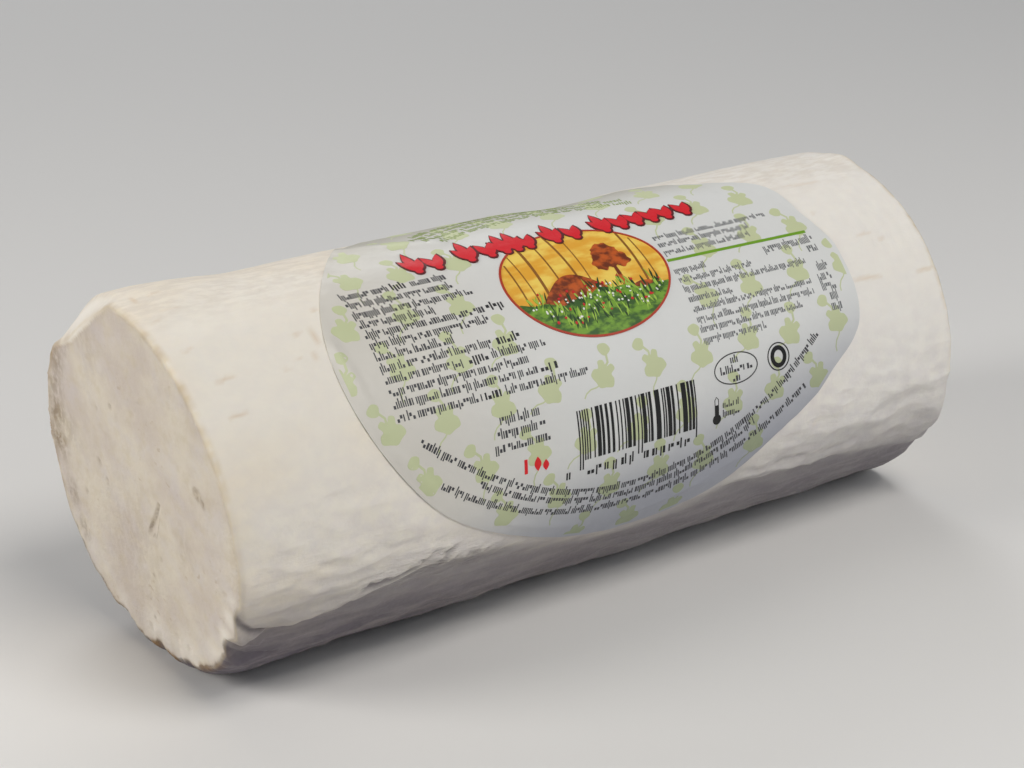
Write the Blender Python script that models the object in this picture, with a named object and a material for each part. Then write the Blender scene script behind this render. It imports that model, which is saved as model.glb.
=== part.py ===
"""Goat cheese log of one kilogram with an oval label stuck on it.

The log lies along X, on a small flat spot underneath, and its cut end is at -X.
The front, where the label is, looks to -Y.
Sizes are metres. An angle on the log runs up from the front (-Y), round over the top (90)
to the back (180), in degrees; an arc is that angle as a length on the rind.
"""
import math

import bpy
import bmesh
from mathutils import Vector, noise

MM = 0.001

# The log
LOG_RADIUS = 39.6 * MM
LOG_LENGTH = 189.4 * MM
AXIS_X = 0.42 * MM
AXIS_Y = 0.27 * MM
AXIS_HEIGHT = 38.2 * MM
ARC_PER_DEGREE = LOG_RADIUS * math.pi / 180.0

# How the two cut ends lean: metres along X for each metre to the back, and for each metre up
NEAR_LEAN = (-0.034, -0.063)
FAR_LEAN = (0.011, -0.049)

# Mesh: columns round the log, stations along it, rings in from the rim of an end
COLUMNS = 96
STATIONS = 52
END_CROWDING = 0.6
FACE_RINGS = ((48, 0.86), (24, 0.56), (12, 0.26))
FACE_RELIEF = 0.35 * MM
FACE_RELIEF_SIZE = 14.0 * MM

# Broad unevenness of the rind, and its long wrinkles, deepest low on the front and the back
UNEVEN_HEIGHT = 0.3 * MM
UNEVEN_SIZE = 32.0 * MM
WRINKLE_HEIGHT = 0.55 * MM
WRINKLE_LENGTH = 34.0 * MM
WRINKLE_WIDTH = 8.5 * MM
WRINKLE_BANDS = ((-38.0, 42.0, 1.0), (-142.0, 42.0, 1.0), (60.0, 90.0, 0.25), (160.0, 60.0, 0.25))

# Swellings and hollows of the rind: place along X, angle, half length, half angle, height
RIND_FORMS = (
    (-86.0 * MM, 104.0, 22.0 * MM, 34.0, 1.1 * MM),
    (19.0 * MM, 108.0, 19.0 * MM, 26.0, -1.0 * MM),
    (76.0 * MM, 100.0, 34.0 * MM, 50.0, 0.3 * MM),
    (-84.0 * MM, -30.0, 10.0 * MM, 12.0, -0.8 * MM),
    (62.0 * MM, -14.0, 14.0 * MM, 10.0, 0.6 * MM),
    (84.0 * MM, -40.0, 22.0 * MM, 20.0, -0.4 * MM),
)

# The long ledge low on the front, where the log once rested: (x, arc), and its section
LEDGE_LINE = (
    (-98.0 * MM, -23.0 * MM),
    (-72.0 * MM, -18.2 * MM),
    (-48.0 * MM, -13.6 * MM),
    (-34.0 * MM, -15.0 * MM),
    (0.0, -22.5 * MM),
    (25.0 * MM, -18.0 * MM),
    (64.0 * MM, -19.4 * MM),
    (98.0 * MM, -24.0 * MM),
)
LEDGE_DEPTH = 1.0 * MM
LEDGE_STEP = 2.4 * MM
LEDGE_REACH = 15.0 * MM
LEDGE_FADE_START = 58.0 * MM
LEDGE_FADE_END = 82.0 * MM

# What the rim of an end has lost: angle, half angle, depth in from the rind, reach along X
NEAR_RIM_LOSSES = (
    (117.0, 29.0, 4.9 * MM, 3.8 * MM),
    (136.0, 15.0, 1.0 * MM, 3.0 * MM),
    (-84.0, 58.0, 3.4 * MM, 6.5 * MM),
    (-88.0, 6.0, 1.2 * MM, 5.0 * MM),
    (-113.0, 8.0, 1.6 * MM, 5.0 * MM),
    (-28.0, 15.0, 1.0 * MM, 4.0 * MM),
    (-172.0, 16.0, 0.8 * MM, 3.0 * MM),
)
FAR_RIM_LOSSES = (
    (-46.0, 20.0, 1.5 * MM, 5.0 * MM),
    (88.0, 9.0, -0.8 * MM, 7.0 * MM),
    (150.0, 24.0, 1.6 * MM, 4.0 * MM),
    (-100.0, 34.0, 2.2 * MM, 6.0 * MM),
    (-160.0, 14.0, 1.4 * MM, 3.5 * MM),
)
EDGE_ROUND = 0.7 * MM

# The label: an oval of thin film laid round the front and over the top
LABEL_X = 1.5 * MM
LABEL_ARC = 31.0 * MM
LABEL_HALF_LENGTH = 66.0 * MM
LABEL_HALF_HEIGHT = 52.0 * MM
LABEL_GAP = 0.3 * MM
LABEL_THICKNESS = 0.25 * MM
LABEL_CELLS_LONG = 14
LABEL_CELLS_HIGH = 24
# Where its edge runs in or out of the oval: direction in degrees, share of the oval's radius
LABEL_EDGE = (
    (0.0, 0.995),
    (13.0, 0.972),
    (27.0, 1.025),
    (45.0, 0.94),
    (62.0, 0.93),
    (95.0, 0.96),
    (130.0, 1.0),
    (150.0, 0.97),
    (180.0, 1.0),
    (215.0, 0.982),
    (240.0, 0.963),
    (270.0, 1.0),
    (287.0, 0.995),
    (310.0, 0.937),
    (327.0, 0.965),
    (342.0, 1.025),
)
# The rind is smooth under the label, and as far past its edge as this share
LABEL_SMOOTH_MARGIN = 0.12

# Colours, linear
RIND_COLOUR = (0.74, 0.70, 0.62)
RIND_ROUGHNESS = 0.55
LABEL_COLOUR = (0.72, 0.75, 0.78)
LABEL_ROUGHNESS = 0.35


def clear_scene():
    for old in list(bpy.data.objects):
        bpy.data.objects.remove(old, do_unlink=True)


def ease(start, end, value):
    """0 before start, 1 after end, and a smooth rise between them."""
    t = min(max((value - start) / (end - start), 0.0), 1.0)
    return t * t * (3.0 - 2.0 * t)


def bell(distance, half_width):
    """1 at no distance, 0 from half_width on, smooth between."""
    t = min(abs(distance) / half_width, 1.0)
    return (1.0 - t * t) ** 2


def turn_between(a, b):
    """The smaller turn from angle b to angle a, in degrees, -180 to 180."""
    return (a - b + 180.0) % 360.0 - 180.0


def along_line(points, x):
    """Height at x of a smooth line through the points, which run in order of x."""
    for (x0, y0), (x1, y1) in zip(points, points[1:]):
        if x <= x1:
            return y0 + (y1 - y0) * ease(x0, x1, x)
    return points[-1][1]


def label_reach(direction):
    """The label edge's share of the oval's radius in a direction, in degrees."""
    closed = LABEL_EDGE + ((LABEL_EDGE[0][0] + 360.0, LABEL_EDGE[0][1]),)
    return along_line(closed, direction % 360.0)


def label_cover(angle, x):
    """1 on the rind under the label, 0 clear of it."""
    across = (x - LABEL_X) / LABEL_HALF_LENGTH
    up = (turn_between(angle, 0.0) * ARC_PER_DEGREE - LABEL_ARC) / LABEL_HALF_HEIGHT
    out = math.hypot(across, up)
    edge = label_reach(math.degrees(math.atan2(up, across)))
    return 1.0 - ease(edge, edge + LABEL_SMOOTH_MARGIN, out)


def rind_noise(angle, x, length, width):
    """Smooth noise on the rind, -1 to 1, stretched to this length along X and width round it."""
    turn = math.radians(angle)
    share = LOG_RADIUS / width
    return noise.noise(Vector((x / length, share * math.cos(turn), share * math.sin(turn))))


def wrinkles(angle, x):
    strength = 0.0
    for centre, half_width, share in WRINKLE_BANDS:
        strength = max(strength, share * bell(turn_between(angle, centre), half_width))
    return WRINKLE_HEIGHT * strength * rind_noise(angle, x, WRINKLE_LENGTH, WRINKLE_WIDTH)


def ledge(angle, x):
    """Depth of the ledge: a quick step down below its line, which fades towards the underside."""
    arc = turn_between(angle, 0.0) * ARC_PER_DEGREE
    below = along_line(LEDGE_LINE, x) - arc
    step = ease(-0.5 * LEDGE_STEP, 0.5 * LEDGE_STEP, below)
    fade = 1.0 - ease(0.0, LEDGE_REACH, below)
    return LEDGE_DEPTH * step * fade * (1.0 - ease(LEDGE_FADE_START, LEDGE_FADE_END, x))


def rind_radius(angle, x):
    """Distance of the rind from the axis, apart from what the ends' rims have lost."""
    radius = LOG_RADIUS
    radius += UNEVEN_HEIGHT * rind_noise(angle, x, UNEVEN_SIZE, UNEVEN_SIZE)
    for form_x, form_angle, half_length, half_angle, height in RIND_FORMS:
        spread = math.hypot((x - form_x) / half_length, turn_between(angle, form_angle) / half_angle)
        radius += height * bell(spread, 1.0)
    bare = 1.0 - label_cover(angle, x)
    return radius + bare * (wrinkles(angle, x) - ledge(angle, x))


def rim_loss(losses, angle, inward):
    """What the rim has lost at an angle, at a distance inward along X from the end's face."""
    lost = EDGE_ROUND * (1.0 - ease(0.0, 2.0 * EDGE_ROUND, inward))
    for centre, half_angle, depth, reach in losses:
        share = bell(turn_between(angle, centre), half_angle)
        lost += depth * share * (1.0 - min(inward / reach, 1.0)) ** 1.5
    return lost


def end_plane(side, y, z):
    """X of the near (-1) or far (1) cut at a place beside (y) and above (z) the axis."""
    lean = NEAR_LEAN if side < 0 else FAR_LEAN
    return side * 0.5 * LOG_LENGTH + lean[0] * y + lean[1] * z


def rind_point(angle, share):
    """A point of the rind at an angle, at a share of the way from the near end to the far one."""
    turn = math.radians(angle)
    y = -LOG_RADIUS * math.cos(turn)
    z = LOG_RADIUS * math.sin(turn)
    near_x = end_plane(-1, y, z)
    far_x = end_plane(1, y, z)
    x = near_x + share * (far_x - near_x)
    radius = rind_radius(angle, x)
    radius -= rim_loss(NEAR_RIM_LOSSES, angle, x - near_x)
    radius -= rim_loss(FAR_RIM_LOSSES, angle, far_x - x)
    return on_log(x, -radius * math.cos(turn), radius * math.sin(turn))


def on_log(x, y, z):
    """A place given from the middle of the log's axis, in the part's frame, never below the base."""
    return Vector((AXIS_X + x, AXIS_Y + y, max(AXIS_HEIGHT + z, 0.0)))


def face_point(side, rim, share):
    """A point of an end's face, at a share of the way from its middle to a point of its rim."""
    y = (rim.y - AXIS_Y) * share
    z = (rim.z - AXIS_HEIGHT) * share
    relief = noise.noise(Vector((side * 5.0, y, z)) / FACE_RELIEF_SIZE)
    x = end_plane(side, y, z) + FACE_RELIEF * relief * (1.0 - share ** 4)
    return on_log(x, y, z)


def station_share(index):
    """Share along the log of a station, the stations closer together near both ends."""
    t = index / (STATIONS - 1)
    return t - END_CROWDING * math.sin(2.0 * math.pi * t) / (2.0 * math.pi)


def add_face(mesh, side, rim_ring):
    """Closes one end with rings of fewer and fewer points, down to one in the middle."""
    outer = rim_ring
    for count, share in FACE_RINGS:
        step = COLUMNS // count
        inner = [mesh.verts.new(face_point(side, rim_ring[i * step].co, share)) for i in range(count)]
        for i in range(count):
            fan_out(mesh, side, inner[i], inner[(i + 1) % count], outer, 2 * i)
        outer = inner
    middle = mesh.verts.new(face_point(side, rim_ring[0].co, 0.0))
    for i in range(len(outer)):
        triangle(mesh, side, outer[i], outer[(i + 1) % len(outer)], middle)


def fan_out(mesh, side, left, right, outer, start):
    """Three triangles between one step of an inner ring and two steps of the ring outside it."""
    first, second, third = (outer[(start + k) % len(outer)] for k in range(3))
    triangle(mesh, side, first, second, left)
    triangle(mesh, side, second, right, left)
    triangle(mesh, side, second, third, right)


def triangle(mesh, side, a, b, c):
    mesh.faces.new((a, b, c) if side < 0 else (a, c, b))


def new_object(name, mesh, material):
    data = bpy.data.meshes.new(name)
    bmesh.ops.recalc_face_normals(mesh, faces=mesh.faces[:])
    mesh.to_mesh(data)
    mesh.free()
    data.materials.append(material)
    data.shade_smooth()
    thing = bpy.data.objects.new(name, data)
    bpy.context.scene.collection.objects.link(thing)
    return thing


def new_material(name, colour, roughness):
    material = bpy.data.materials.new(name)
    material.use_nodes = True
    shader = material.node_tree.nodes["Principled BSDF"]
    shader.inputs["Base Color"].default_value = (*colour, 1.0)
    shader.inputs["Roughness"].default_value = roughness
    shader.inputs["Metallic"].default_value = 0.0
    return material


def make_log():
    """The cheese, one closed solid: rings round the rind from end to end, and a face on each end."""
    mesh = bmesh.new()
    rings = []
    for station in range(STATIONS):
        share = station_share(station)
        angles = (360.0 * column / COLUMNS for column in range(COLUMNS))
        rings.append([mesh.verts.new(rind_point(angle, share)) for angle in angles])
    for ring, next_ring in zip(rings, rings[1:]):
        for column in range(COLUMNS):
            after = (column + 1) % COLUMNS
            mesh.faces.new((ring[column], next_ring[column], next_ring[after]))
            mesh.faces.new((ring[column], next_ring[after], ring[after]))
    add_face(mesh, -1, rings[0])
    add_face(mesh, 1, rings[-1])
    return new_object("cheese_log", mesh, new_material("rind", RIND_COLOUR, RIND_ROUGHNESS))


def label_place(across, up):
    """Angle and X of a place on the label, across and up running -1 to 1 over a square."""
    oval_x = across * math.sqrt(1.0 - 0.5 * up * up)
    oval_y = up * math.sqrt(1.0 - 0.5 * across * across)
    reach = label_reach(math.degrees(math.atan2(oval_y, oval_x)))
    x = LABEL_X + LABEL_HALF_LENGTH * reach * oval_x
    arc = LABEL_ARC + LABEL_HALF_HEIGHT * reach * oval_y
    return arc / ARC_PER_DEGREE, x


def label_layer(mesh, height):
    """One side of the label, a grid of points this far off the rind."""
    layer = []
    for row in range(LABEL_CELLS_HIGH + 1):
        points = []
        for column in range(LABEL_CELLS_LONG + 1):
            across = 2.0 * column / LABEL_CELLS_LONG - 1.0
            up = 2.0 * row / LABEL_CELLS_HIGH - 1.0
            angle, x = label_place(across, up)
            radius = rind_radius(angle, x) + height
            turn = math.radians(angle)
            points.append(mesh.verts.new(on_log(x, -radius * math.cos(turn), radius * math.sin(turn))))
        layer.append(points)
    return layer


def grid_edge(layer):
    """The points round the edge of a grid, in order."""
    edge = list(layer[0])
    edge += [row[-1] for row in layer[1:]]
    edge += list(reversed(layer[-1][:-1]))
    edge += [row[0] for row in reversed(layer[1:-1])]
    return edge


def make_label():
    """The label, a thin closed solid bent round the log, clear of it by a small gap."""
    mesh = bmesh.new()
    inside = label_layer(mesh, LABEL_GAP)
    outside = label_layer(mesh, LABEL_GAP + LABEL_THICKNESS)
    for layer in (inside, outside):
        for row, next_row in zip(layer, layer[1:]):
            for a, b, c, d in zip(row, row[1:], next_row[1:], next_row):
                mesh.faces.new((a, b, c))
                mesh.faces.new((a, c, d))
    inner_edge = grid_edge(inside)
    outer_edge = grid_edge(outside)
    for i in range(len(inner_edge)):
        j = (i + 1) % len(inner_edge)
        mesh.faces.new((inner_edge[i], inner_edge[j], outer_edge[j]))
        mesh.faces.new((inner_edge[i], outer_edge[j], outer_edge[i]))
    return new_object("label", mesh, new_material("label_film", LABEL_COLOUR, LABEL_ROUGHNESS))


clear_scene()
make_log()
make_label()
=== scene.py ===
import math
import random

import bpy
import bmesh
import numpy as np
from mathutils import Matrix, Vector, geometry, noise


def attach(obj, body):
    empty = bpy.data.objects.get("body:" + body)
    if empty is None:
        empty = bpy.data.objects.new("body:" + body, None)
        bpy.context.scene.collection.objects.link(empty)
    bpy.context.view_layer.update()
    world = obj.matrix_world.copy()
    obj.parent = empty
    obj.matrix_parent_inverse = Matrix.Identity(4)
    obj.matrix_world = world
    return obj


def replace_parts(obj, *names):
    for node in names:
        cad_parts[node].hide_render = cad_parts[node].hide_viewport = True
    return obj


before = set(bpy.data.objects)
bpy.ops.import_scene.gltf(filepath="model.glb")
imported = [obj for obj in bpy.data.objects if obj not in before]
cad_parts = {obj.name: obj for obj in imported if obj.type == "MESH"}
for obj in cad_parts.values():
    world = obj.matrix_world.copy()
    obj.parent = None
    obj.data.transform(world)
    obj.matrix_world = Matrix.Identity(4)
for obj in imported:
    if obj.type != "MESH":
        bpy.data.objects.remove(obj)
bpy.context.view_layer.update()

MM = 0.001

# The log, as the solids have it
LOG_RADIUS = 39.6
LOG_LENGTH = 189.4
AXIS_X = 0.42
AXIS_Y = 0.27
AXIS_HEIGHT = 38.2
ARC_PER_DEGREE = LOG_RADIUS * math.pi / 180.0
# How far X of a cut shifts for each millimetre beside the axis and above it
NEAR_LEAN = (-0.034, -0.063)
FAR_LEAN = (0.011, -0.049)
FACE_RELIEF = 0.35
FACE_RELIEF_SIZE = 14.0
FACE_NOISE_SHIFT = 5000.0
UNEVEN_HEIGHT = 0.3
UNEVEN_SIZE = 32.0
WRINKLE_HEIGHT = 0.55
WRINKLE_LENGTH = 34.0
WRINKLE_WIDTH = 8.5
# Where the broad wrinkles are: angle, half angle, strength
WRINKLE_BANDS = ((-38.0, 42.0, 1.0), (-142.0, 42.0, 1.0), (60.0, 90.0, 0.25), (160.0, 60.0, 0.25))
# Broad bulges and dents: x, angle, half length, half angle, height
RIND_FORMS = (
    (-86.0, 104.0, 22.0, 34.0, 1.1),
    (19.0, 108.0, 19.0, 26.0, -1.0),
    (76.0, 100.0, 34.0, 50.0, 0.3),
    (-84.0, -30.0, 10.0, 12.0, -0.8),
    (62.0, -14.0, 14.0, 10.0, 0.6),
    (84.0, -40.0, 22.0, 20.0, -0.4),
)
# The ledge low on the front: x and arc of its line
LEDGE_LINE = (
    (-98.0, -23.0),
    (-72.0, -18.2),
    (-48.0, -13.6),
    (-34.0, -15.0),
    (0.0, -22.5),
    (25.0, -18.0),
    (64.0, -19.4),
    (98.0, -24.0),
)
LEDGE_DEPTH = 1.0
LEDGE_STEP = 1.5
LEDGE_REACH = 15.0
LEDGE_LIP = 0.3
LEDGE_LIP_WIDTH = 2.4
LEDGE_FADE_START = 58.0
LEDGE_FADE_END = 82.0
# What a rim has lost: angle, half angle, depth, reach along the log
NEAR_RIM_LOSSES = (
    (118.9, 25.5, 4.9, 4.2),
    (136.0, 15.0, 1.0, 3.0),
    (-84.0, 58.0, 3.4, 6.5),
    (-88.0, 6.0, 1.2, 5.0),
    (-113.0, 8.0, 1.6, 5.0),
    (-28.0, 15.0, 1.0, 4.0),
    (-172.0, 16.0, 0.8, 3.0),
)
FAR_RIM_LOSSES = (
    (-46.0, 20.0, 1.5, 5.0),
    (88.0, 9.0, -0.8, 7.0),
    (150.0, 24.0, 1.6, 4.0),
    (-100.0, 34.0, 2.2, 6.0),
    (-160.0, 14.0, 1.4, 3.5),
)
# A loss deeper than this is a flat cut with a crisp edge
FLAT_FROM = 4.0
EDGE_ROUND = 0.35

# The label, as the solids have it
LABEL_X = 1.5
LABEL_ARC = 31.0
LABEL_HALF_LENGTH = 66.0
LABEL_HALF_HEIGHT = 52.0
# The label's edge: direction in degrees, share of the oval's reach
LABEL_EDGE = (
    (0.0, 0.995),
    (13.0, 0.972),
    (27.0, 1.025),
    (45.0, 0.94),
    (62.0, 0.93),
    (95.0, 0.96),
    (130.0, 1.0),
    (150.0, 0.97),
    (180.0, 1.0),
    (215.0, 0.982),
    (240.0, 0.963),
    (270.0, 1.0),
    (287.0, 0.995),
    (310.0, 0.937),
    (327.0, 0.965),
    (342.0, 1.025),
)
CLOSED_LABEL_EDGE = LABEL_EDGE + ((LABEL_EDGE[0][0] + 360.0, LABEL_EDGE[0][1]),)
LABEL_SMOOTH_MARGIN = 0.12

# Mesh of the log: columns round it, stations along it, and the spacing of points on a cut face
COLUMNS = 384
STATIONS = 172
END_CROWDING = 0.62
FRONT_CROWDING = 0.35
FRONT_MIDDLE = -12.0
NEAR_FACE_PITCH = 0.62
FAR_FACE_PITCH = 1.1

# Fine relief of the rind
RIDGE_SHARPNESS = 2.4
BLOOM_HEIGHT = 0.05
BLOOM_SIZE = 2.6
RIPPLE_HEIGHT = 0.02
RIPPLE_LENGTH = 3.3
CREASE_FADE = 5.0
GROOVE_BELOW = 0.75
GROOVE_WIDTH = 0.75
# A groove this deep is as dark as a groove gets
DARK_GROOVE = 0.4
FLAP_END = -80.0
# Crinkles along the ledge: middle along the log and above the ledge's line, reach, size, height
CRINKLE_X = -44.0
CRINKLE_RISE = 1.0
CRINKLE_HALF_LENGTH = 46.0
CRINKLE_HALF_WIDTH = 7.5
CRINKLE_ELSEWHERE = 0.12
CRINKLE_SIZE = (6.0, 2.2)
CRINKLE_HEIGHT = 0.36
# Small lumps and dents of the rind: x, arc, half length, half width, height
LUMPS = (
    (66.0, -16.8, 2.8, 1.5, 0.55),
    (63.0, -15.0, 2.0, 1.2, 0.3),
    (55.0, -7.5, 6.0, 2.6, -0.3),
    (-47.5, -14.6, 3.0, 1.6, 0.4),
    (-41.0, -15.2, 3.4, 1.2, 0.35),
    (-52.0, -9.0, 4.0, 1.6, 0.25),
    (-84.0, 15.0, 6.0, 4.0, -0.15),
    (82.0, -2.0, 20.0, 5.0, 0.35),
    (80.0, -9.0, 18.0, 4.5, -0.3),
    (-66.0, -2.0, 9.0, 5.0, -0.2),
    (-78.0, -9.0, 8.0, 4.0, 0.22),
    (-60.0, -10.0, 6.0, 2.6, -0.25),
)
# Long creases of the rind, a ridge with a groove beneath: half width, ridge, groove, and its line
# as (x, arc) pairs in millimetres
LONG_CREASES = (
    (1.4, 0.13, 0.0, ((-92, -0.5), (-86, 2.5), (-80, 6.0), (-72, 8.5), (-66, 9.0), (-58, 8.0))),
    (0.8, 0.08, 0.05, ((-70, 8.0), (-66, 9.6), (-60, 9.4), (-55, 9.0))),
    (1.0, 0.36, 0.46, ((-91, -18.4), (-82, -19.3), (-74, -18.6), (-66, -16.6), (-58, -15.2), (-50, -15.8))),
    (1.3, 0.65, 0.42, ((-68, -14.5), (-60, -12.9), (-54, -11.3), (-50, -9.8), (-45, -9.8), (-38, -11.6))),
    (0.9, 0.42, 0.42, ((-52, -11.6), (-46, -12.4), (-38, -13.2), (-31, -14.2), (-24, -15.6), (-14, -17.8))),
    (0.9, 0.32, 0.36, ((-54, -15.8), (-48, -16.8), (-42, -16.2), (-36, -15.8), (-26, -16.6), (-10, -19.6))),
    (1.2, 0.07, 0.08, ((-82, -4.0), (-76, -4.6), (-68, -3.4))),
    (1.2, 0.07, 0.09, ((-88, -8.4), (-80, -7.2), (-72, -8.4))),
    (1.1, 0.10, 0.12, ((-80, -12.4), (-72, -11.2), (-64, -11.8), (-56, -8.6))),
    (1.0, 0.10, 0.12, ((-70, -5.4), (-62, -4.6), (-54, -5.6), (-48, -4.8))),
    (0.9, 0.45, 0.22, ((16, -18.2), (24, -16.9), (38, -16.6), (48, -17.6), (60, -18.6), (72, -19.0))),
    (0.9, 0.16, 0.16, ((34, -14.6), (44, -15.0), (54, -14.6), (63, -15.8))),
    (1.2, 0.14, 0.12, ((-8, -22.0), (4, -24.2), (16, -22.6), (30, -23.0), (44, -22.0))),
    (1.2, 0.14, 0.12, ((-56, -20.0), (-46, -21.4), (-36, -20.6), (-22, -22.4))),
    (1.2, 0.12, 0.10, ((-50, -25.5), (-40, -24.4), (-30, -26.2), (-18, -25.6))),
)
# The torn flap by the near rim: a ridge and the grooves beside it, as half width, height and line
FLAP_LINES = (
    (1.5, 0.95, ((-95.5, -12.0), (-93.0, -17.5), (-90.5, -21.5), (-86.0, -24.3))),
    (1.2, -0.9, ((-94.0, -10.0), (-91.6, -15.5), (-89.0, -18.3), (-84.0, -20.2))),
    (1.5, -0.8, ((-95.0, -21.0), (-92.0, -25.0), (-88.0, -28.6), (-82.0, -30.0))),
    (1.0, 0.5, ((-93.0, -26.0), (-89.0, -30.5))),
)
# Wrinkles all over, sharper towards the underside: length, width, height low down, height on top
FINE_WRINKLES = (
    (10.0, 5.0, 0.40, 0.04),
    (4.0, 2.4, 0.06, 0.045),
    (18.0, 9.0, 0.42, 0.10),
)
# Tan dashes in the rind: from x, arc to x, arc in millimetres, half width, strength
TAN_DASHES = (
    (-88.7, 34.6, -84.6, 35.2, 0.65, 0.5),
    (-89.0, 27.1, -85.0, 27.4, 0.65, 0.5),
    (-92.2, 42.8, -89.5, 43.4, 0.6, 0.35),
    (-92.7, 61.0, -92.5, 64.0, 0.9, 0.6),
    (-89.5, 62.5, -86.0, 64.0, 0.6, 0.35),
    (-90.0, 56.2, -86.0, 56.0, 0.6, 0.3),
    (-94.0, 52.5, -91.0, 53.6, 0.6, 0.25),
    (-69.2, 41.0, -67.4, 41.4, 0.7, 0.5),
    (-67.2, 34.5, -67.4, 36.5, 0.7, 0.55),
    (-71.0, 35.2, -70.3, 35.8, 0.6, 0.6),
    (-74.1, 34.1, -73.2, 33.8, 0.6, 0.65),
    (-65.0, 37.8, -64.7, 42.4, 0.6, 0.5),
    (-67.0, 47.3, -66.6, 47.6, 0.6, 0.4),
    (-61.7, 45.8, -61.2, 47.0, 0.6, 0.5),
    (67.5, 23.6, 76.0, 23.0, 0.8, 0.45),
    (87.0, 22.0, 93.0, 22.1, 0.8, 0.45),
    (74.5, 33.7, 79.0, 33.9, 0.7, 0.3),
    (80.0, 31.5, 82.0, 32.0, 0.7, 0.35),
    (67.0, 53.0, 77.0, 52.0, 0.8, 0.3),
    (66.8, 42.0, 68.0, 43.0, 0.8, 0.3),
    (52.8, -7.5, 53.0, -5.2, 0.9, 0.4),
    (31.0, 104.0, 37.0, 103.0, 0.7, 0.5),
    (-20.0, 96.0, -14.0, 97.0, 0.7, 0.45),
    (-58.0, 101.0, -53.0, 100.4, 0.7, 0.5),
    (70.0, 88.0, 71.0, 91.0, 0.7, 0.45),
    (-2.0, 110.0, 2.5, 109.6, 0.7, 0.4),
)
# Crumbs lost along the rims: depth everywhere, extra depth underneath, size of a crumb
CHIP_DEPTH = 0.4
CHIP_EXTRA = 1.3
CHIP_SIZE = 3.2
FAR_CHIP_SHARE = 0.3
CHIP_REACH = 2.4

# Crumbs of both cuts: size, height
CRUMB_SIZES = ((4.4, 0.13), (1.9, 0.06))
# Pits of the near cut: beside the axis, above it, radius, depth
PITS = (
    (-1.1, 24.1, 0.9, 0.35),
    (-2.5, 17.9, 1.1, 0.35),
    (-13.5, 16.4, 0.8, 0.3),
    (-26.3, 9.6, 1.7, 0.6),
    (-28.0, 8.1, 1.1, 0.45),
    (-31.7, 2.1, 1.2, 0.45),
    (14.3, 13.8, 0.7, 0.3),
    (7.6, 16.4, 0.8, 0.25),
    (16.7, 0.8, 1.2, 0.3),
    (13.8, -2.5, 1.1, 0.3),
    (25.0, -9.1, 1.0, 0.3),
    (-6.8, -12.8, 0.9, 0.3),
    (-35.6, -5.5, 0.9, 0.5),
    (-32.9, -9.6, 1.2, 0.45),
    (-30.0, -14.4, 2.4, -0.45),
    (-0.6, -32.0, 1.9, -0.7),
    (-9.7, -29.3, 1.5, 0.5),
    (-14.6, -30.0, 1.6, 0.5),
    (-11.5, -32.6, 2.2, -0.5),
    (-23.0, -28.0, 2.6, -0.5),
)
# The crack's top and foot, beside the axis and above it
CRACK = ((-9.4, 1.4), (-4.2, -8.6))
CRACK_WIDTHS = (0.7, 2.2)
CRACK_DEPTH = 0.6
# Folds at the back edge of the near cut: angle of their middle, half angle, height, width, length
EDGE_FOLDS = (168.0, 34.0, 0.55, 1.9, 7.0)
# Spots of the near cut with a finer mesh: beside the axis, above it, radius
FINE_SPOTS = (
    (-6.0, -3.5, 6.0),
    (-27.0, 9.0, 4.0),
    (35.0, 12.0, 6.0),
    (37.0, 1.0, 6.0),
    (-31.0, -17.0, 8.0),
    (-16.0, -32.0, 8.0),
    (0.0, -34.0, 6.0),
)
SPOT_PITCH = 0.33
LOOSE_PITS = 26
CRUMBLY_FROM = 0.72

# The film of the label and the layers of its print, as heights above the rind
FILM_UNDER = 0.05
FILM_TOP = 0.25
LAYER = 0.025
FILM_PITCH = 0.85
FILM_EDGE_POINTS = 360
PUCKER_SIZE = 3.2
PUCKER_HEIGHT = 0.12
FILM_WAVES = ((9.0, 0.045), (4.0, 0.018))
# Creases of the film: from x, arc to x, arc, half width, height
CREASES = (
    (-45.0, 68.5, -24.0, 60.5, 4.0, 0.5),
    (-52.0, 61.5, -30.0, 54.5, 3.6, -0.2),
    (-62.8, 38.0, -59.0, 17.0, 1.9, 0.3),
    (-57.0, 13.0, -50.0, 3.5, 1.6, 0.2),
    (-30.0, -10.0, -14.0, -15.5, 1.7, 0.16),
    (16.0, -14.5, 34.0, -8.5, 1.7, 0.16),
    (6.0, 68.0, 30.0, 69.0, 2.0, 0.16),
    (1.0, -17.5, 22.0, -14.0, 1.5, 0.14),
)

# Marks: values by point that the rind's look reads. Reaches are in from the end's face
MARKS = ("paste", "rim", "crust", "stain_and_crack_shade", "pale", "tan", "shadow", "crinkle")
RIM_LINE = 0.42
RIM_STRENGTH = 0.45
RIM_REACH = 3.0
RIND_CRUST_REACH = 1.8
CUT_CRUST_REACH = 1.6
FLECK_STRENGTH = 0.75
FLECK_REACH = 1.7
GROOVE_SHADE = 0.5
FLAP_SHADE = 1.3
# Strength of the painted shade on the crack's walls and foot
CRACK_SHADE = 0.5
# The rind is darker below the ledge: where below its line the shade sets in, and where it ends
LEDGE_SHADE = 0.45
LEDGE_SHADE_START = (-0.5, 1.8)
LEDGE_SHADE_END = (8.0, 24.0)
# Arcs of the tan dashes run half a turn either way from this angle
TAN_CUT = 70.0
# The bake's map of the log: its scale, and where the middle of each cut is on it
MAP_SCALE = 0.0037
CUT_MAP_MIDDLES = {-1: (0.16, 0.85), 1: (0.48, 0.85)}
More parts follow.
